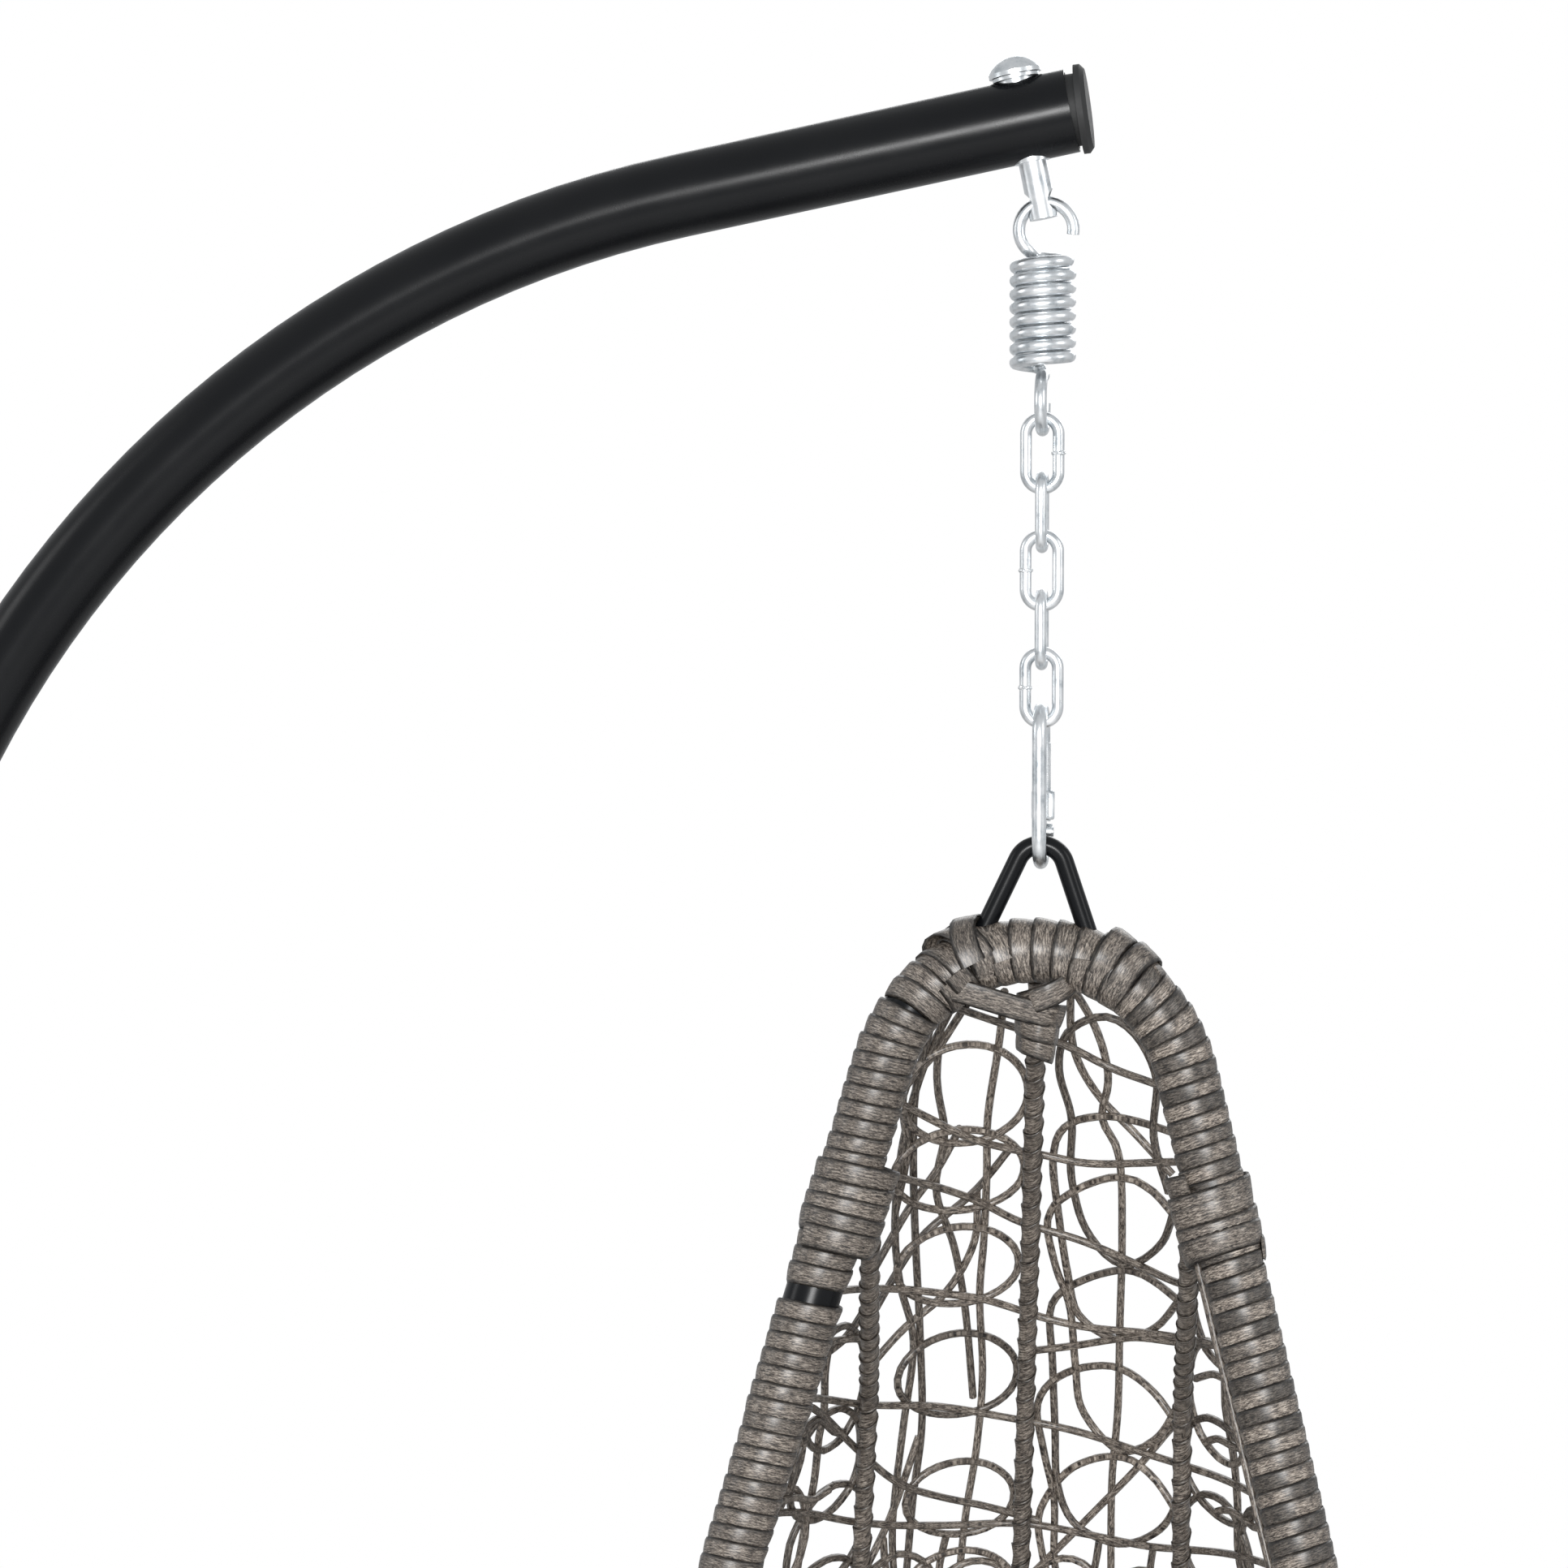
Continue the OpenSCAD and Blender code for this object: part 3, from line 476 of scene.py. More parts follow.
class Tree(Sums):
    """A geometry node tree with named inputs."""

    def __init__(self, name, **sizes):
        self.tree = bpy.data.node_groups.new(name, "GeometryNodeTree")
        face = self.tree.interface
        face.new_socket("Geometry", in_out="INPUT", socket_type="NodeSocketGeometry")
        face.new_socket("Geometry", in_out="OUTPUT", socket_type="NodeSocketGeometry")
        self.ids = {}
        for key, value in (*sizes.items(), ("material", None)):
            kind = {float: "Float", int: "Int"}.get(type(value), "Material")
            made = face.new_socket(key, in_out="INPUT", socket_type="NodeSocket" + kind)
            made.default_value = value
            self.ids[key] = made.identifier
        self.start = self.tree.nodes.new("NodeGroupInput")
        self.end = self.tree.nodes.new("NodeGroupOutput")

    def size(self, name):
        return self.start.outputs[name]

    def add(self, kind, settings=None, out=0, **sockets):
        kind = kind if kind.startswith("Shader") else "GeometryNode" + kind
        made = node_in(self.tree, kind, settings, **sockets)
        return made if out is None else made.outputs[out]

    def vector(self, operation, a, b):
        second = {"Scale" if operation == "SCALE" else "i1": b}
        return self.add("ShaderNodeVectorMath", {"operation": operation}, i0=a, **second)

    def keep(self, geometry, name, value, data_type="FLOAT", domain="POINT"):
        return self.add("StoreNamedAttribute", {"data_type": data_type, "domain": domain},
                        Geometry=geometry, Name=name, Value=value)

    def read(self, name, data_type="FLOAT"):
        return self.add("InputNamedAttribute", {"data_type": data_type}, Name=name)

    def shade(self, number):
        """How light a turn or a strand is, by chance from its number."""
        chance = self.add("ShaderNodeTexWhiteNoise", {"noise_dimensions": "1D"}, W=self.plus(
            number, self.times(self.size("seed"), 13.1)))
        return self.times(self.less(chance, 0.5), self.size("contrast"), self.size("level"))

    def skin(self, line, section, *spent, **sizes):
        """The section drawn along the line, with a UV map of its run and lane."""
        body = self.add("CurveToMesh", Curve=line, Profile_Curve=section, Fill_Caps=True, **sizes)
        uv = self.add("ShaderNodeCombineXYZ", i0=self.read("run"), i1=self.read("lane"), i2=0.0)
        body = self.keep(body, "UVMap", uv, "FLOAT2", "CORNER")
        for name in ("run", "lane") + spent:
            body = self.add("RemoveAttribute", Geometry=body, Name=name)
        return self.add("SetShadeSmooth", Geometry=body)

    def wobble(self, w, seed, scale):
        """Smooth noise from -1 to 1 that runs with w."""
        offset = self.plus(w, self.times(seed, 37.7))
        value = self.add("ShaderNodeTexNoise", {"noise_dimensions": "1D"}, W=offset, Scale=scale,
                         Detail=1.0)
        return self.times(value, 2.0, -1.0)

    def finish(self, geometry):
        whole = self.add("SetMaterial", Geometry=self.add("RealizeInstances", Geometry=geometry),
                         Material=self.size("material"))
        self.tree.links.new(whole, self.end.inputs[0])
        return self


def strip_tree():
    """A flat strip wound round a path, each turn lying on the edge of the one before."""
    g = Tree("wound_strip", start=0.0, end=1.0, pitch=0.009, width=0.0138, thickness=0.0019,
             radius=0.018, lift=0.15, loose=0.001, lean=0.0, contrast=0.3, level=0.5,
             per_turn=20, seed=1, alternate=0.0)
    path = g.start.outputs["Geometry"]
    span = g.less(g.size("end"), g.size("start"))
    turns = g.maths("DIVIDE", span, g.size("pitch"))
    count = g.times(turns, g.size("per_turn"))
    line = g.add("MeshToCurve", Mesh=g.add("MeshLine", {"mode": "OFFSET"}, Count=count))
    t = g.maths("DIVIDE", g.add("InputIndex"), g.less(count, 1.0))
    turn = g.times(t, turns)
    angle = g.times(turn, math.tau)
    seed = g.size("seed")
    drift = g.times(g.wobble(turn, seed, 0.9), g.size("loose"))
    tip = g.times(g.maths("COSINE", angle), g.size("lean"))
    along = g.times(t, span, g.size("start"))
    along = g.plus(along, g.plus(drift, tip))
    spot = g.add("SampleCurve", {"mode": "LENGTH", "use_all_curves": False}, out=None,
                 Curves=path, Length=along)
    across = g.vector("CROSS_PRODUCT", spot.outputs["Tangent"], spot.outputs["Normal"])
    out = g.vector("ADD", g.vector("SCALE", spot.outputs["Normal"], g.maths("COSINE", angle)),
                   g.vector("SCALE", across, g.maths("SINE", angle)))
    proud = g.times(g.wobble(turn, g.plus(seed, 5.0), 1.3), g.times(g.size("loose"), 0.35))
    radius = g.plus(g.size("radius"), proud)
    place = g.vector("ADD", spot.outputs["Position"], g.vector("SCALE", out, radius))
    line = g.add("SetPosition", Geometry=line, Position=place)
    line = g.keep(line, "out", out, "FLOAT_VECTOR")
    line = g.add("SetCurveNormal", {"mode": "FREE"}, Curve=line,
                 Normal=g.read("out", "FLOAT_VECTOR"))
    number = g.maths("FLOOR", turn)
    odd = g.less(g.maths("MODULO", number, 2.0), 0.5)
    line = g.keep(line, "shade", g.times(odd, g.size("alternate"), g.shade(number)))
    line = g.keep(line, "run", g.plus(g.add("SplineParameter", out=1), g.times(seed, 3.7)))
    # the section: a thin lens, raised on its leading edge
    ring = g.add("CurvePrimitiveCircle", {"mode": "RADIUS"}, Resolution=8, Radius=1.0)
    corner = g.add("ShaderNodeSeparateXYZ", out=None, i0=g.add("InputPosition"))
    side = g.times(corner.outputs[0], g.times(g.size("width"), 0.5))
    squared = g.maths("POWER", g.maths("ABSOLUTE", corner.outputs[1]), 0.8)
    height = g.times(g.times(squared, g.maths("SIGN", corner.outputs[1])),
                     g.times(g.size("thickness"), 0.5))
    height = g.plus(height, g.times(side, g.size("lift")))
    ring = g.keep(ring, "lane", g.times(corner.outputs[0], 0.5, 0.5))
    ring = g.add("SetPosition", Geometry=ring,
                 Position=g.add("ShaderNodeCombineXYZ", i0=height, i1=side, i2=0.0))
    return g.finish(g.skin(line, ring, "out"))


def wire_tree():
    """Round wire or cane along every spline of a path, a little uneven where asked."""
    g = Tree("round_wire", radius=0.002, step=0.006, sides=8, uneven=0.0, contrast=0.0,
             level=0.5, seed=1)
    line = g.add("ResampleCurve", {"mode": "LENGTH"}, Curve=g.start.outputs["Geometry"],
                 Length=g.size("step"))
    length = g.add("SplineParameter", out=1)
    number = g.add("FieldOnDomain", {"data_type": "INT", "domain": "CURVE"},
                   i0=g.add("InputIndex"))
    swell = g.wobble(g.plus(length, g.times(number, 2.3)), g.size("seed"), 60.0)
    size = g.times(g.size("radius"), g.times(swell, g.size("uneven"), 1.0))
    line = g.add("SetCurveRadius", Curve=line, Radius=size)
    line = g.keep(line, "shade", g.shade(number))
    line = g.keep(line, "run", g.plus(length, g.times(number, 0.37)))
    ring = g.add("CurvePrimitiveCircle", {"mode": "RADIUS"}, Resolution=g.size("sides"), Radius=1.0)
    lane = g.maths("DIVIDE", g.add("InputIndex"), g.size("sides"))
    ring = g.keep(ring, "lane", g.maths("ABSOLUTE", g.times(lane, 2.0, -1.0)))
    return g.finish(g.skin(line, ring, Scale=size))


WOUND_STRIP = strip_tree()
ROUND_WIRE = wire_tree()


def path_object(name, runs, loop=False):
    """A curve object with one straight-stepped spline for each run of points, in metres."""
    data = bpy.data.curves.new(name, "CURVE")
    data.dimensions = "3D"
    for points in runs:
        line = data.splines.new("POLY")
        line.points.add(len(points) - 1)
        for point, p in zip(line.points, points):
            point.co = (*p, 1)
        line.use_cyclic_u = loop
    return linked(name, data)


def grown(name, runs, tree, material, loop=False, **sizes):
    """The tree's mesh on these runs, as a plain object."""
    carrier = path_object(name + "_path", runs, loop)
    modifier = carrier.modifiers.new("tree", "NODES")
    modifier.node_group = tree.tree
    for key, value in sizes.items():
        modifier[tree.ids[key]] = value
    modifier[tree.ids["material"]] = material
    bpy.context.view_layer.update()
    graph = bpy.context.evaluated_depsgraph_get()
    mesh = bpy.data.meshes.new_from_object(carrier.evaluated_get(graph))
    mesh.name = name
    made = linked(name, mesh)
    bpy.data.objects.remove(carrier)
    return made


def outwards(mesh, merge=False):
    """Turns the faces of a closed mesh outwards, with its doubles merged first where asked."""
    solid = bmesh.new()
    solid.from_mesh(mesh)
    if merge:
        bmesh.ops.remove_doubles(solid, verts=solid.verts, dist=1e-6)
    bmesh.ops.recalc_face_normals(solid, faces=solid.faces)
    solid.to_mesh(mesh)
    solid.free()


def skinned(name, verts, faces):
    mesh = bpy.data.meshes.new(name)
    mesh.from_pydata([tuple(v) for v in verts], [], faces)
    outwards(mesh)
    return linked(name, mesh)


def dressed(mesh, material):
    """Smooth faces in one material."""
    mesh.materials.clear()
    mesh.materials.append(material)
    mesh.polygons.foreach_set("use_smooth", [True] * len(mesh.polygons))


def joined(name, pieces):
    """Several mesh objects as one."""
    bpy.ops.object.select_all(action="DESELECT")
    for piece in pieces:
        piece.select_set(True)
    bpy.context.view_layer.objects.active = pieces[0]
    if len(pieces) > 1:
        bpy.ops.object.join()
    pieces[0].name = pieces[0].data.name = name
    return pieces[0]


def finish_piece(piece, body, slot, *nodes):
    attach(piece, body)
    if nodes:
        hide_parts(*nodes)


# ---- opening ring and its winding ----

def rod(name, points, radius, step, sides, loop=False):
    """A bare black rod or tube of the basket."""
    piece = grown(name, [points], ROUND_WIRE, BLACK, loop, radius=radius, step=step, sides=sides)
    finish_piece(piece, "basket", "black_powder_coat", name)


def sampled(function, low, high, count):
    return [function(low + (high - low) * i / (count - 1)) for i in range(count)]


def length_of(points):
    return sum((b - a).length for a, b in zip(points, points[1:]))


def ring_side(side, low, high, count=160):
    return sampled(lambda s: hung(ring_point(s, side)), low, high, count)


rod("ring_tube", ring_side(1, 0, 1)[:-1] + ring_side(-1, 1, 0)[:-1], RING_TUBE_R * MM,
    0.012, 20, loop=True)


def winding(name, points, start=0.0, end=None, material=STRIP, **sizes):
    return grown(name, [points], WOUND_STRIP, material, start=start,
                 end=length_of(points) - 0.001 if end is None else end, **sizes)


STRIP_W = 0.0138
left_side, right_side = ring_side(-1, 0, 1), ring_side(1, 0, 1)
over_top = ring_side(-1, 0.13, 0, 80)[:-1] + ring_side(1, 0, 0.13, 80)
TOP = length_of(over_top) / 2
over_feet = [p + Vector((0, 0, 0.004)) for p in over_top]      # wraps that stand proud on top
turns = []
# path, start, end, pitch, width, how far proud, loose, lean, contrast, level, alternate, seed
for number, (path, start, end, pitch, width, proud, loose, lean, contrast, level, alternate,
             seed) in enumerate((
        (right_side, 0.058, None, 0.0098, STRIP_W, 0, 0.0012, 0, 0.6, 0.50, 0.9, 3),
        (left_side, 0.056, 0.0850, 0.0105, 0.0145, 0.0006, 0.0015, 0.004, 0.3, 0.55, 0, 6),
        (left_side, 0.0895, 0.2645, 0.0102, STRIP_W, 0, 0.0013, 0, 0.34, 0.52, 0, 7),
        (left_side, 0.2765, 0.345, 0.0100, STRIP_W, 0.0005, 0.0012, 0, 0.42, 0.52, 0, 10),
        (left_side, 0.346, None, 0.0098, STRIP_W, -0.0004, 0.0012, 0, 0.42, 0.52, 0, 11),
        (over_top, TOP - 0.030, TOP + 0.0325, 0.0125, 0.0165, 0.0004, 0.0015, -0.004, 0.3,
         0.58, 0, 12),
        (over_top, TOP - 0.064, TOP - 0.026, 0.0125, 0.0165, 0.0012, 0.002, 0.006, 0.3,
         0.52, 0, 13),
        (over_feet, TOP - 0.058, TOP - 0.034, 0.0135, 0.0160, 0.0030, 0.002, 0.010, 0.5,
         0.50, 0, 15),
        (over_feet, TOP - 0.046, TOP - 0.0335, 0.0120, 0.0160, 0.0052, 0.001, -0.007, 0.5,
         0.42, 0, 17),
        (over_top, TOP + 0.0335, TOP + 0.066, 0.0115, 0.0155, 0.0012, 0.002, -0.006, 0.3,
         0.52, 0, 14),
        (over_feet, TOP + 0.036, TOP + 0.063, 0.0130, 0.0155, 0.0026, 0.002, -0.007, 0.5,
         0.48, 0, 16))):
    turns.append(winding(
        "ring_turns_%d" % number, path, start, end, pitch=pitch, width=width,
        radius=(RING_TUBE_R + 0.9) * MM + proud, loose=loose, lean=float(lean),
        contrast=contrast, level=level, alternate=float(alternate), seed=seed))
finish_piece(joined("ring_winding", turns), "basket", "wicker_strip", "ring_winding")

# ---- ribs ----
STRIP_HEAD = 0.036                    # the centre rib's strip starts above the rib itself


def centre_run(low, high, count):
    return sampled(lambda s: hung(shell(s, 0)), low, high, count)


def side_run(side):
    return sampled(lambda s: hung(rib_point(s, side)), RIB_START, RIB_END, 150)


centre_line = (centre_run(STRIP_HEAD, CENTRE_START, 8)[:-1]
               + centre_run(CENTRE_START, RIB_END, 150))
# painted light: the ribs' strip is the ring's strip, painted lighter (level 0.62 against about 0.5)
# to offset the shade the ribs lie in
for name, line, seed in (("centre_rib_winding", centre_line, 21),
                         ("left_rib_winding", side_run(-1), 22),
                         ("right_rib_winding", side_run(1), 23)):
    piece = winding(name, line, pitch=0.0165, width=0.0175, thickness=0.0008, radius=0.0051,
                    material=RIB_STRIP, lift=0.035, loose=0.0008, contrast=0.4, level=0.62,
                    per_turn=18, seed=seed)
    finish_piece(piece, "basket", "wicker_strip", name)

# ---- weave ----
CANE_R = 2.6
INNER, MIDDLE, OUTER = 8.5, 10.8, 12.6        # how far outside the ribs each layer of cane lies
SWAY_OUT = 2.0                                # how unevenly it lies there
LOOP_W, LOOP_PITCH, CROSS_PITCH, CANE_STEP = 84.0, 62.0, 58.0, 12.0
HAND_LAID_LOW, WEAVE_END, LAST_S = 0.42, 0.965, 0.985
rng = random.Random(19)


def sway(point, amount, seed):
    """Slow unevenness of a hand-laid cane at a point, in millimetres."""
    return amount * noise.noise(Vector(point) / 31.0 + Vector((seed, 3.1, seed * 0.7)))


def through(points, step=7.0):
    """A smooth line through points in the plane, stepped evenly."""
    points = [Vector(p) for p in points]
    padded = [2 * points[0] - points[1]] + points + [2 * points[-1] - points[-2]]
    line = []
    for a, b, c, d in zip(padded, padded[1:], padded[2:], padded[3:]):
        count = max(2, int((c - b).length / step))
        for i in range(count):
            t = i / count
            line.append(0.5 * (2 * b + (c - a) * t + (2 * a - 5 * b + 4 * c - d) * t * t
                               + (3 * b - a - 3 * c + d) * t ** 3))
    return line + [points[-1]]


def front_cane(points, off, seed):
    """A cane laid on the back of the basket through points seen from the front."""
    return [hung(shell_from_front(x, z, off + sway((x, 0, z), SWAY_OUT, seed)))
            for x, z in through(points)]


def ellipse(cx, cz, half_w, half_h, tilt=0.06):
    """A loop that overlaps itself a little, as a strand does where it is tucked in."""
    points = []
    for i in range(27):
        a = math.tau * i / 24 + 0.5
        x, z = half_w * math.cos(a), half_h * math.sin(a)
        points.append((cx + x + tilt * z, cz + z))
    return points


def spots(*runs):
    """Runs of points, each written as its x and z, with commas between points."""
    return [[tuple(map(float, spot.split())) for spot in run.split(",")] for run in runs]


# the two columns beside the centre rib, as they were laid by hand
LEFT_LOOPS = [(-43, 1320, 39, 35), (-46, 1266, 41, 29), (-46, 1197, 39, 28),
              (-45, 1117, 39, 30), (-42, 1025, 36, 27), (-41, 957, 37, 29)]
RIGHT_LOOPS = spots(
    "86 1261, 75 1299, 75 1339, 61 1367, 41 1378, 19 1364, 15 1338, 24 1304, 25 1263, 37 1223, "
    "61 1203, 83 1223, 91 1255",
    "92 1303, 64 1307, 44 1308, 21 1299, 13 1277, 18 1233, 25 1192, 33 1163, 55 1149, 81 1160, "
    "98 1190",
    "95 1240, 76 1260, 56 1266, 28 1253, 11 1233, 17 1197, 27 1169, 32 1127, 38 1092, 63 1067, "
    "86 1081, 102 1118",
    "98 1184, 79 1196, 61 1200, 33 1187, 15 1168, 17 1126, 20 1078, 23 1036, 36 1008, 66 998, "
    "92 1016, 105 1050",
    "104 1088, 82 1116, 56 1128, 24 1118, 8 1095, 13 1060, 21 1024, 23 975, 36 940, 64 928, "
    "96 948",
    "104 1028, 85 1053, 63 1063, 32 1049, 12 1017, 13 990, 23 950")
UPRIGHTS = spots(
    "-20 1392, -23 1354, -29 1303, -29 1262, -30 1215, -32 1173, -29 1114, -32 1060, -38 1012, "
    "-42 960",
    "-57 1388, -61 1332, -56 1292, -61 1252, -49 1210, -41 1162, -35 1099",
    "-64 1372, -74 1322, -75 1265, -73 1207, -70 1147, -68 1081, -73 1027, -77 965",
    "18 1402, 37 1368, 46 1335, 43 1306, 55 1279, 59 1221, 60 1157, 61 1097, 59 1042, 61 965",
    "20 1402, 23 1356, 39 1323, 64 1298, 88 1274",
    "-50 1386, -69 1340, -81 1290, -86 1235, -83 1188, -74 1142, -80 1080, -86 1010, -84 960")
SLANTS = spots(
    "-38 1392, -63 1348, -81 1324, -79 1281, -86 1240",
    "-104 1160, -72 1216, -37 1249, -12 1284",
    "-106 1124, -82 1152, -54 1177, -36 1213, -35 1250",
    "5 965, 39 1007, 74 1055, 103 1104",
    "-100 1198, -78 1240, -60 1267, -46 1296",
    "-112 960, -88 1014, -70 1072")
CROSSINGS = spots(
    "-60 1386, -24 1371, 17 1357, 48 1342, 80 1334",
    "-90 1322, -63 1303, -32 1286, 9 1277, 45 1274, 95 1286",
    "-104 1275, -73 1261, -37 1245, -5 1228, 32 1218, 69 1206, 99 1199, 134 1209",
    "-120 1193, -62 1179, -30 1172, 7 1160, 39 1155, 81 1158, 130 1166",
    "2 1134, 34 1141, 71 1153, 101 1157, 138 1170",
    "-138 1122, -102 1103, -61 1095, -29 1088, -2 1083, 36 1077, 74 1070, 100 1068, 148 1068",
    "-135 1114, -105 1066, -81 1040, -54 1027, -22 1018, 11 1009",
    "-158 1046, -107 1017, -59 1006, 0 1006, 39 1003, 76 1001, 103 1005, 160 1022")
canes = []
for group, off, first_seed in (([ellipse(*loop) for loop in LEFT_LOOPS], MIDDLE, 0),
                               (RIGHT_LOOPS, MIDDLE, 10), (UPRIGHTS + SLANTS, OUTER, 20),
                               (CROSSINGS, INNER, 40)):
    for number, points in enumerate(group):
        canes.append(front_cane(points, off, first_seed + number))


def reach(s):
    """The angle round from the spine at which the weave meets the ring."""
    depth = spine(s).x - ring_y(ring_half(s).y)
    return math.acos(min(0.8, 20 / depth))


def inner_rib(s):
    return min(rib_angle(s), reach(s) * 0.6)


def stretch(s, phi):
    """Millimetres for each unit of s and of phi there."""
    here = shell(s, phi, MIDDLE)
    return (shell(s + 0.005, phi, MIDDLE) - here).length / 0.005, \
        max(60.0, (shell(s, phi + 0.02, MIDDLE) - here).length / 0.02)


def laid(s, phi, off, seed):
    s = min(LAST_S, s)
    return hung(shell(s, phi, off + sway(shell(s, phi, off), SWAY_OUT, seed)))


s, row = 0.275, 0
while s < 0.955:
    down, _ = stretch(s, 0.0)
    edge, rib = reach(s), inner_rib(s)
    panels = [(-edge, -rib), (rib, edge)]
    if s > HAND_LAID_LOW:
        panels += [(-rib, 0.0), (0.0, rib)]
    for low_edge, high_edge in panels:
        middle = (low_edge + high_edge) / 2
        _, round_mm = stretch(s, middle)
        width = (high_edge - low_edge) * round_mm
        count = max(1, round(width / LOOP_W))
        for k in range(count):
            phi = low_edge + (high_edge - low_edge) * (k + 0.5) / count
            down_mm, round_mm = stretch(s, phi)
            half_phi = (width / count) * 0.54 * rng.uniform(0.88, 1.08) / round_mm
            half_s = LOOP_PITCH * rng.uniform(0.60, 0.76) / down_mm
            shift_s = rng.uniform(-6, 6) / down_mm
            turn_in, phase = rng.uniform(-0.2, 0.2), rng.uniform(0, 6)
            loop = []
            for i in range(25):
                a = math.tau * i / 22 + phase
                u, v = math.cos(a), math.sin(a)
                at_s = s + shift_s + half_s * (v + turn_in * u)
                loop.append(laid(at_s, max(-edge, min(edge, phi + half_phi * u)), MIDDLE, row + k))
            canes.append(loop)
    s += LOOP_PITCH / down
    row += 1

def upright_cane(s, angle, share, place, amount):
    """A cane that runs down the basket at angle(s), waving slowly."""
    line = []
    while s < WEAVE_END:
        wave = sway((s * 900, share * 300, place), amount, share) / 300.0
        line.append(laid(s, angle(s) + wave, OUTER, share))
        s += CANE_STEP / stretch(s, 0.0)[0]
    canes.append(line)


for side in (-1, 1):                                      # in the side panels
    for share, first in ((0.22, 0.20), (0.45, 0.16), (0.7, 0.14), (0.93, 0.12)):
        upright_cane(first, lambda s: side * min(reach(s), inner_rib(s)
                                                 + (reach(s) - inner_rib(s)) * share),
                     share, side * 90, 13.0)
for share in (-0.78, -0.45, 0.42, 0.74):                  # and between the ribs, lower down
    upright_cane(0.40, lambda s: rib_angle(s) * share, share, 17, 12.0)
s, number = 0.30, 0
while s < 0.95:                                          # canes laid across
    down, _ = stretch(s, 0.0)
    tilt = rng.uniform(-16, 22) / down
    spans = [(-1.0, 1.0)] if s > HAND_LAID_LOW else [(-1.0, -0.5), (0.5, 1.0)]
    for from_share, to_share in spans:
        line = []
        for i in range(41):
            share = from_share + (to_share - from_share) * i / 40
            at_s = s + tilt * share + sway((share * 300, s * 500, 5), 14.0, number) / down
            line.append(laid(at_s, reach(at_s) * share, INNER, number))
        canes.append(line)
    s += CROSS_PITCH / down
    number += 1

canes.append([hung(ring_point(0.235 + 0.3 * i / 40, 1) + Vector((-WINDING_R - 1.6, 13, 0)))
              for i in range(41)])                        # along the inside of the ring
basket_weave = grown("basket_weave", canes, ROUND_WIRE, STRAND, radius=CANE_R * MM, step=0.007,
                     sides=7, uneven=0.05, contrast=0.7, level=0.62, seed=5)
finish_piece(basket_weave, "basket", "wicker_strand", "basket_weave")

# ---- bindings ----
for name, side, seed in (("left_binding", -1, 31), ("right_binding", 1, 32)):
    line = [p + Vector((-side * 3.6, 2.5, 0)) * MM for p in ring_side(side, 0.202, 0.238, 30)]
    piece = winding(name, line, pitch=0.0098, width=0.0150, thickness=0.0018, radius=0.0243,
                    lift=0.14, loose=0.0035, contrast=0.4, level=0.5, per_turn=28, seed=seed)
    finish_piece(piece, "basket", "wicker_strip", name)

# ---- hanger rod ----
APEX_R, LEFT_LEG, RIGHT_LEG, LEG_LEN = 15.0, math.radians(24.0), math.radians(20.0), 53.0


def apex_point(a):
    return Vector((APEX_R * math.sin(a), 0, HANGER_TOP - APEX_R + APEX_R * math.cos(a)))


def leg_end(side, slope):
    """The foot of a leg that leaves the bend at this slope."""
    from_bend = apex_point(side * (math.pi / 2 - slope))
    return from_bend + LEG_LEN * Vector((side * math.sin(slope), 0, -math.cos(slope)))


hanger_line = ([leg_end(-1, LEFT_LEG)]
               + sampled(apex_point, LEFT_LEG - math.pi / 2, math.pi / 2 - RIGHT_LEG, 40)
               + [leg_end(1, RIGHT_LEG)])
rod("hanger_rod", [hung(p) for p in hanger_line], 0.00575, 0.0015, 20)

# ---- hoops ----
for name, s, half_turn in (("back_hoop", 0.47, 78), ("seat_hoop", 0.72, 74)):
    line = sampled(lambda d: hung(shell(s, math.radians(d), 17)), -half_turn, half_turn, 60)
    rod(name, line, 0.004, 0.01, 12)

# ---- spring ----


def bezier_run(a, a_way, b, b_way, count):
    p = [a, a + a_way, b - b_way, b]
    return [bezier(p, i / count) for i in range(count + 1)]


def spring_line():
    """One wire: the open upper loop, the coil, and the lower loop turned across it."""
    upper = Vector((UPPER_LOOP[0], 0, UPPER_LOOP[1]))
    points = []
    for i in range(41):                                   # open upper loop, from its cut end
        a = math.radians(-10 + 235 * i / 40)
        points.append(upper + LOOP_R * Vector((math.cos(a), 0, math.sin(a))))
    first = points[-1]
    steps, early, late = 28, 7, 9     # steps a turn; it starts a quarter early, stops short
    coil = []
    for i in range(late, TURNS * steps + early + 1):
        a = math.tau * i / steps
        r = LOOP_R * (1 - 0.20 * max(0, i - TURNS * steps + 5) / (early + 5))
        coil.append(Vector((r * math.cos(a), r * math.sin(a), COIL_LOW + PITCH * i / steps)))
    coil.reverse()
    lead = bezier_run(first, Vector((5, 2, -4)), coil[0], Vector((8, 3, -1)), 14)
    loop_start = math.radians(80)
    lower_start = Vector((0, LOOP_R * math.cos(loop_start),
                          LOWER_LOOP_Z + LOOP_R * math.sin(loop_start)))
    tail = bezier_run(coil[-1], Vector((8, 1, -1)), lower_start, Vector((0, -7, 1)), 12)
    points += lead[1:-1] + coil + tail[1:-1]
    for i in range(41):
        a = loop_start + math.radians(280) * i / 40
        points.append(Vector((0, LOOP_R * math.cos(a), LOWER_LOOP_Z + LOOP_R * math.sin(a))))
    return points


spring = grown("spring", [[stood(p) for p in spring_line()]], ROUND_WIRE, ZINC,
               radius=SPRING_WIRE / 2 * MM, step=0.0025, sides=14)
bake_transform(spring)
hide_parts("spring_upper_loop", "spring_coil", "spring_lower_loop")

# ---- strip laid from the left shoulder to the head of the centre rib ----

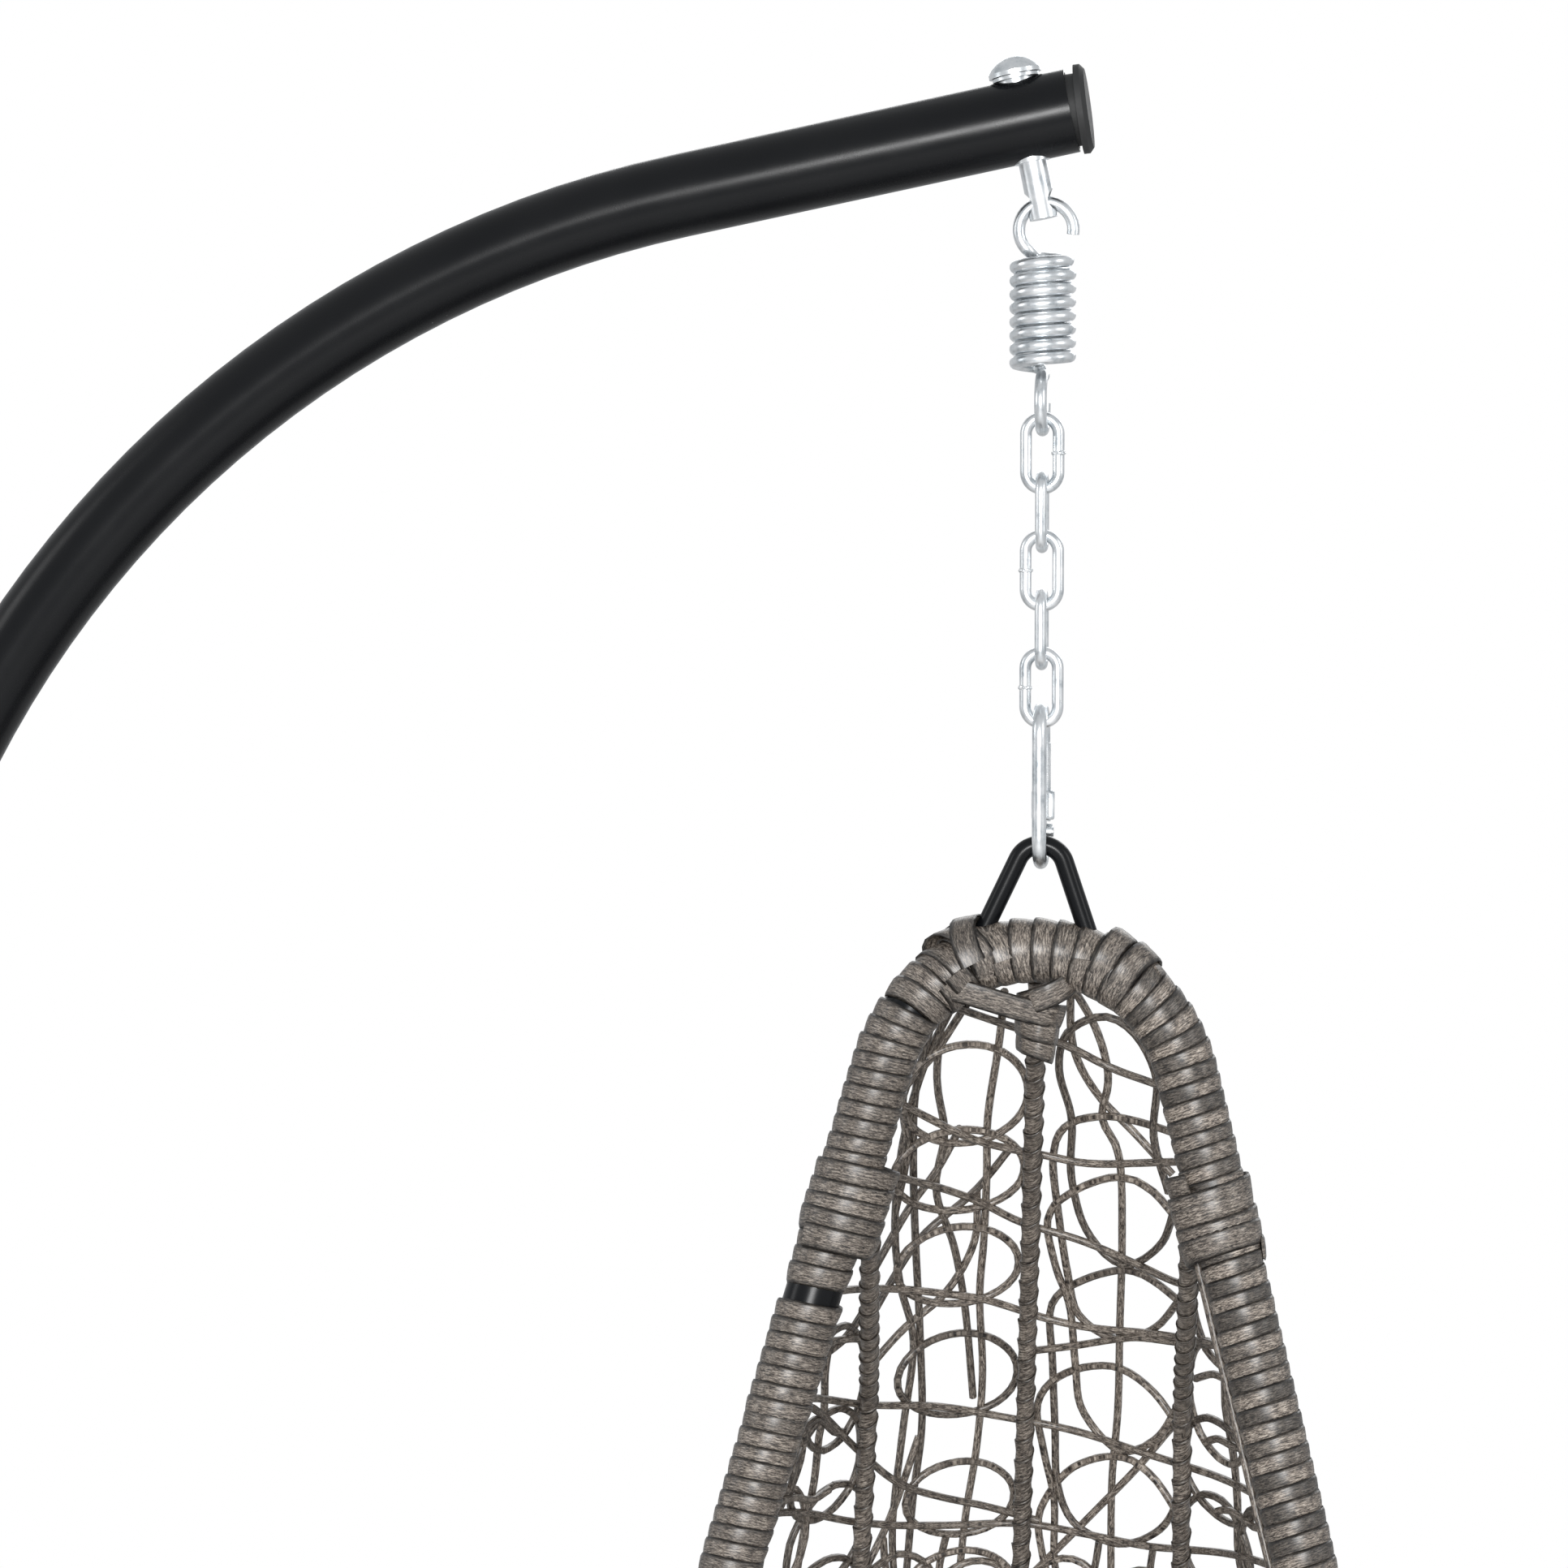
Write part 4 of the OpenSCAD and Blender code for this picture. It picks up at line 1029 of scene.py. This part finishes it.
def row_faces(rows, first=0, capped=True):
    """Faces of a closed skin through rows of points, each row a ring."""
    count = len(rows[0])
    faces = []
    for start in range(first, first + (len(rows) - 1) * count, count):
        for k in range(count):
            a, b = start + k, start + (k + 1) % count
            faces.append((a, b, b + count, a + count))
    if capped:
        last = first + (len(rows) - 1) * count
        faces.append(tuple(range(first + count - 1, first - 1, -1)))
        faces.append(tuple(range(last, last + count)))
    return faces


def laid_strip(name, runs, width, thickness, shade):
    """Flat strips: each run is a list of (point, facing) in basket millimetres."""
    verts, faces, coords = [], [], []
    for run in runs:
        points = [hung(p) for p, _ in run]
        travelled, rows = 0.0, []
        for i, (p, (_, facing)) in enumerate(zip(points, run)):
            ahead = points[min(i + 1, len(points) - 1)] - points[max(i - 1, 0)]
            travelled += (p - points[i - 1]).length if i else 0.0
            across = ahead.cross(HANG.to_3x3() @ Vector(facing)).normalized()
            out = across.cross(ahead).normalized()
            angles = [math.tau * k / 10 for k in range(10)]
            rows.append([p + across * (math.cos(a) * width / 2 * MM)
                         + out * (math.sin(a) * thickness / 2 * MM) for a in angles])
            coords += [(travelled, 0.5 + 0.5 * math.cos(a)) for a in angles]
        faces += row_faces(rows, len(verts))
        verts += [p for row in rows for p in row]
    made = skinned(name, verts, faces)
    mesh = made.data
    layer = mesh.uv_layers.new(name="UVMap")
    for corner in mesh.loops:
        layer.data[corner.index].uv = coords[corner.vertex_index]
    tone = mesh.attributes.new("shade", "FLOAT", "POINT")
    tone.data.foreach_set("value", [shade] * len(verts))
    dressed(mesh, STRIP)
    return made


def eased(points, facing_from, facing_to):
    """Points joined without corners, each with a facing between the two given."""
    dense = []
    for a, b in zip(points, points[1:]):
        for i in range(6):
            dense.append(Vector(a).lerp(Vector(b), i / 6))
    dense.append(Vector(points[-1]))
    for _ in range(3):
        dense = [dense[0]] + [(a + 2 * b + c) / 4 for a, b, c in zip(dense, dense[1:], dense[2:])] \
            + [dense[-1]]
    count = len(dense) - 1
    return [(p, Vector(facing_from).lerp(Vector(facing_to), i / count))
            for i, p in enumerate(dense)]


head_strips = laid_strip("rib_head_strips", [
    eased([(-74, -6, 1392), (-62, -15, 1398), (-50, -19, 1400), (-34, -19, 1396),
           (-10, -15, 1389), (9, -11, 1385), (16, 2, 1383)], (-0.1, -1, -0.30), (0.35, -1, -0.1)),
    eased([(24, -4, 1410), (17, -14, 1403), (8, -17, 1398), (-2, -15, 1394), (-9, -8, 1391),
           (-10, 3, 1389)], (0.2, -1, -0.35), (-0.5, -1, 0)),
    eased([(-12, 8, 1379), (-8, -6, 1378), (2, -11, 1376), (11, -6, 1374), (13, 7, 1372)],
          (-0.8, -0.6, 0), (0.8, -0.6, 0)),
    eased([(-11, 8, 1369), (-7, -5, 1368), (2, -9, 1366), (10, -5, 1363), (11, 7, 1361)],
          (-0.8, -0.6, 0), (0.8, -0.6, 0)),
], 15.0, 2.2, 0.46)
finish_piece(head_strips, "basket", "wicker_strip")

# ---- cushions ----


def closed_rows(name, rows, capped=True):
    return skinned(name, [p for row in rows for p in row], row_faces(rows, 0, capped))


def applied(piece):
    """The piece's mesh with its modifiers done, and none left on it."""
    graph = bpy.context.evaluated_depsgraph_get()
    mesh = bpy.data.meshes.new_from_object(piece.evaluated_get(graph))
    piece.modifiers.clear()
    piece.data = mesh


VOXEL, CAP_M, PRESSURE, FRAMES = 0.006, 0.009, 4.0, 20


def stuffed(piece):
    """Swells a slightly small shape as a filled cover; no point moves further than CAP_M."""
    even = piece.modifiers.new("even", "REMESH")
    even.mode, even.voxel_size = "VOXEL", VOXEL
    applied(piece)
    rest = [v.co.copy() for v in piece.data.vertices]
    cover = piece.modifiers.new("cover", "CLOTH")
    cover.settings.quality = 5
    cover.settings.use_pressure = True
    cover.settings.uniform_pressure_force = PRESSURE
    cover.settings.effector_weights.gravity = 0
    cover.point_cache.frame_start, cover.point_cache.frame_end = 1, FRAMES
    for number in range(1, FRAMES + 1):
        bpy.context.scene.frame_set(number)
    applied(piece)
    bpy.context.scene.frame_set(1)
    for vertex, before in zip(piece.data.vertices, rest):
        moved = vertex.co - before
        if moved.length > CAP_M:
            vertex.co = before + moved * (CAP_M / moved.length)


def softened(piece, dents):
    """Shallow dents where the cover is drawn in, and slow unevenness all over, in metres."""
    piece.data.update()
    normals = [v.normal.copy() for v in piece.data.vertices]
    for vertex, normal in zip(piece.data.vertices, normals):
        depth = 0.0022 * noise.noise(vertex.co * 14.0) + 0.0009 * noise.noise(vertex.co * 46.0)
        for centre, spread, deep in dents:
            depth -= deep * math.exp(-((vertex.co - centre).length / spread) ** 2)
        vertex.co = vertex.co + normal * depth


def rounded(piece, node):
    smoother = piece.modifiers.new("rounder", "SUBSURF")
    smoother.levels = smoother.render_levels = 1
    applied(piece)
    dressed(piece.data, CLOTH)
    finish_piece(piece, "basket", "cushion_cloth", node)


SEAT_R, SEAT_LOW, SEAT_TOP, SEAT_RISE = 222.0, 303.0, 440.0, 0.0023
SEAT_IN = 9.0                                   # how much smaller the cover starts
rows = []
for i in range(1, 13):                          # up the bowl, then in over the top
    x = (SEAT_R - SEAT_IN) * i / 12
    rows.append((x, SEAT_LOW + SEAT_IN * 0.8 + SEAT_RISE * x * x))
for i in range(12, 0, -1):
    x = (SEAT_R - SEAT_IN) * i / 12
    rows.append((x, max(SEAT_TOP - SEAT_IN * 0.9 - 14 * (i / 12) ** 4,
                        SEAT_LOW + SEAT_IN * 0.8 + SEAT_RISE * x * x + (4 if i == 12 else 0))))
seat = closed_rows("seat_cushion_cover", [
    [hung((x * math.cos(math.tau * k / 72), x * math.sin(math.tau * k / 72), z))
     for k in range(72)] for x, z in rows])
stuffed(seat)
button_r = 105.0
seat_dents = [(hung((0, 0, SEAT_TOP)), 0.026, 0.011)] + [
    (hung((button_r * math.cos(a), button_r * math.sin(a), SEAT_TOP - 2)), 0.026, 0.011)
    for a in (math.tau * k / 5 + 0.3 for k in range(5))]
softened(seat, seat_dents)
rounded(seat, "seat_cushion")

BACK_IN_R, BACK_OUT_R, BACK_LOW, BACK_TALL, BACK_HALF = 150.0, 224.0, 545.0, 310.0, 37.0


def back_point(r, degrees, z):
    a = math.radians(90 + degrees)
    return hung((r * math.cos(a), 60 + r * math.sin(a), BACK_LOW + z))


in_r, out_r, low_z, high_z = BACK_IN_R + 9, BACK_OUT_R - 9, 9.0, BACK_TALL - 9.0
section = ([(in_r + 8, low_z), (out_r - 8, low_z)]
           + [(out_r, low_z + 10 + (high_z - low_z - 20) * k / 9) for k in range(10)]
           + [(out_r - 8, high_z), (in_r + 8, high_z)]
           + [(in_r, high_z - 10 - (high_z - low_z - 20) * k / 9) for k in range(10)])
half = BACK_HALF - 2.5
back = closed_rows("back_cushion_cover", [
    [back_point(r, half - 2 * half * i / 24, z) for r, z in section] for i in range(25)])
stuffed(back)
softened(back, [(back_point(BACK_IN_R + 2, d, z), 0.028, 0.011)
                for d in (-16, 16) for z in (100, 210)])
rounded(back, "back_cushion")


def piping(name, points):
    piece = grown(name, [points], ROUND_WIRE, PIPING, loop=True, radius=0.0032, step=0.008,
                  sides=10)
    finish_piece(piece, "basket", "cushion_cloth")


def on_skin(piece, centre_point, aim_point):
    """Where a line from inside a cushion towards a point leaves its skin."""
    towards = (aim_point - centre_point).normalized()
    hit, place, _, _ = piece.ray_cast(centre_point, towards)
    return place if hit else aim_point


seat_heart = hung((0, 0, 421))
piping("seat_cushion_piping", [
    on_skin(seat, seat_heart, hung((SEAT_R * math.cos(math.tau * k / 90),
                                    SEAT_R * math.sin(math.tau * k / 90), 421)))
    for k in range(90)])
outline = []
for k in range(96):                             # a rounded rectangle in angle and height
    a = math.tau * k / 96
    c, v = math.cos(a), math.sin(a)
    share = 1 / (abs(c) ** 7 + abs(v) ** 7) ** (1 / 7)
    outline.append((c * share * BACK_HALF, BACK_TALL / 2 + v * share * BACK_TALL / 2))
middle_r = (BACK_IN_R + BACK_OUT_R) / 2
back_edge = []
for degrees, z in outline:
    inside = back_point(middle_r, degrees * 0.7, BACK_TALL / 2 + (z - BACK_TALL / 2) * 0.7)
    back_edge.append(on_skin(back, inside, back_point(middle_r, degrees, z)))
piping("back_cushion_piping", back_edge)

# ---- small metal details ----
GATE_Y, GATE_PIVOT_Z, SLEEVE_Z, SLEEVE_H = 16.0, 1493.43, 1500.93, 17.5


def turned(name, profile, count, dent, dent_rows):
    """A lathe-turned ring about the gate's line; rows in dent_rows are cut with teeth."""
    rows = []
    for number, (r, z) in enumerate(profile):
        row = []
        for k in range(count):
            cut = dent if number in dent_rows and k % 2 else 0.0
            a = math.tau * k / count
            row.append(stood(((r - cut) * math.cos(a), GATE_Y + (r - cut) * math.sin(a), z)))
        rows.append(row)
    rows.append(rows[0])
    made = closed_rows(name, rows, capped=False)
    outwards(made.data, merge=True)
    made.data.materials.append(ZINC)
    return made


BORE = 4.68
sleeve = turned("knurled_sleeve", [
    (BORE, SLEEVE_Z), (6.3, SLEEVE_Z), (6.9, SLEEVE_Z + 0.8), (6.9, SLEEVE_Z + 1.6),
    (7.0, SLEEVE_Z + 1.9), (7.0, SLEEVE_Z + SLEEVE_H - 1.9), (6.9, SLEEVE_Z + SLEEVE_H - 1.6),
    (6.9, SLEEVE_Z + SLEEVE_H - 0.8), (6.3, SLEEVE_Z + SLEEVE_H), (BORE, SLEEVE_Z + SLEEVE_H)],
    52, 0.75, (4, 5))
finish_piece(sleeve, "lock_sleeve", "zinc_plate", "lock_sleeve")

thread = []
THREAD_LOW, THREAD_HIGH, THREAD_PITCH = GATE_PIVOT_Z + 8.0, GATE_PIVOT_Z + 52.0, 1.25
THREAD_R, THREAD_STEPS = 4.5, 16
for i in range(int((THREAD_HIGH - THREAD_LOW) / THREAD_PITCH * THREAD_STEPS)):
    a = math.tau * i / THREAD_STEPS
    thread.append(stood((THREAD_R * math.cos(a), GATE_Y + THREAD_R * math.sin(a),
                         THREAD_LOW + THREAD_PITCH * i / THREAD_STEPS)))
gate_thread = grown("gate_thread", [thread], ROUND_WIRE, ZINC, radius=0.00038, step=0.0017, sides=5)
finish_piece(gate_thread, "hook_gate", "zinc_plate")

for number, side in ((1, 1), (3, -1), (5, -1)):           # where each link's wire is welded
    link = "chain_link_%d" % number
    low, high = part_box(link)
    centre = Vector(((low.x + high.x) / 2 + side * ((high.x - low.x) / 2 - 3.5 * MM),
                     (low.y + high.y) / 2, (low.z + high.z) / 2))
    blob = bmesh.new()
    bmesh.ops.create_icosphere(blob, subdivisions=4, radius=1.0)
    for vertex in blob.verts:
        lump = 1 + 0.16 * noise.noise(vertex.co * 2.6 + Vector((number, 0, 0))) \
            + 0.10 * noise.noise(vertex.co * 6.0)
        out = vertex.co * lump
        vertex.co = centre + Vector((out.x * 4.15, out.y * 4.15, out.z * 2.3)) * MM
    mesh = bpy.data.meshes.new("link_%d_weld" % number)
    blob.to_mesh(mesh)
    blob.free()
    dressed(mesh, ZINC)
    finish_piece(linked(mesh.name, mesh), link, "zinc_plate")


# ---- floor ----
floor_mesh = bpy.data.meshes.new("floor")
floor_mesh.from_pydata([(x, y, 0) for x, y in ((-3.5, -3.5), (3.5, -3.5), (3.5, 3.5), (-3.5, 3.5))],
                       [], [(0, 1, 2, 3)])
paint = Shader("floor_paint", (0.86, 0.86, 0.86), 0.7)
paint.put(paint.ramp(paint.noise(paint.place(), 3.0), (0.3, 0.85), (0.7, 0.88)), "Base Color")
floor_mesh.materials.append(paint.material)
linked("floor", floor_mesh)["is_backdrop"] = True

low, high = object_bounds()
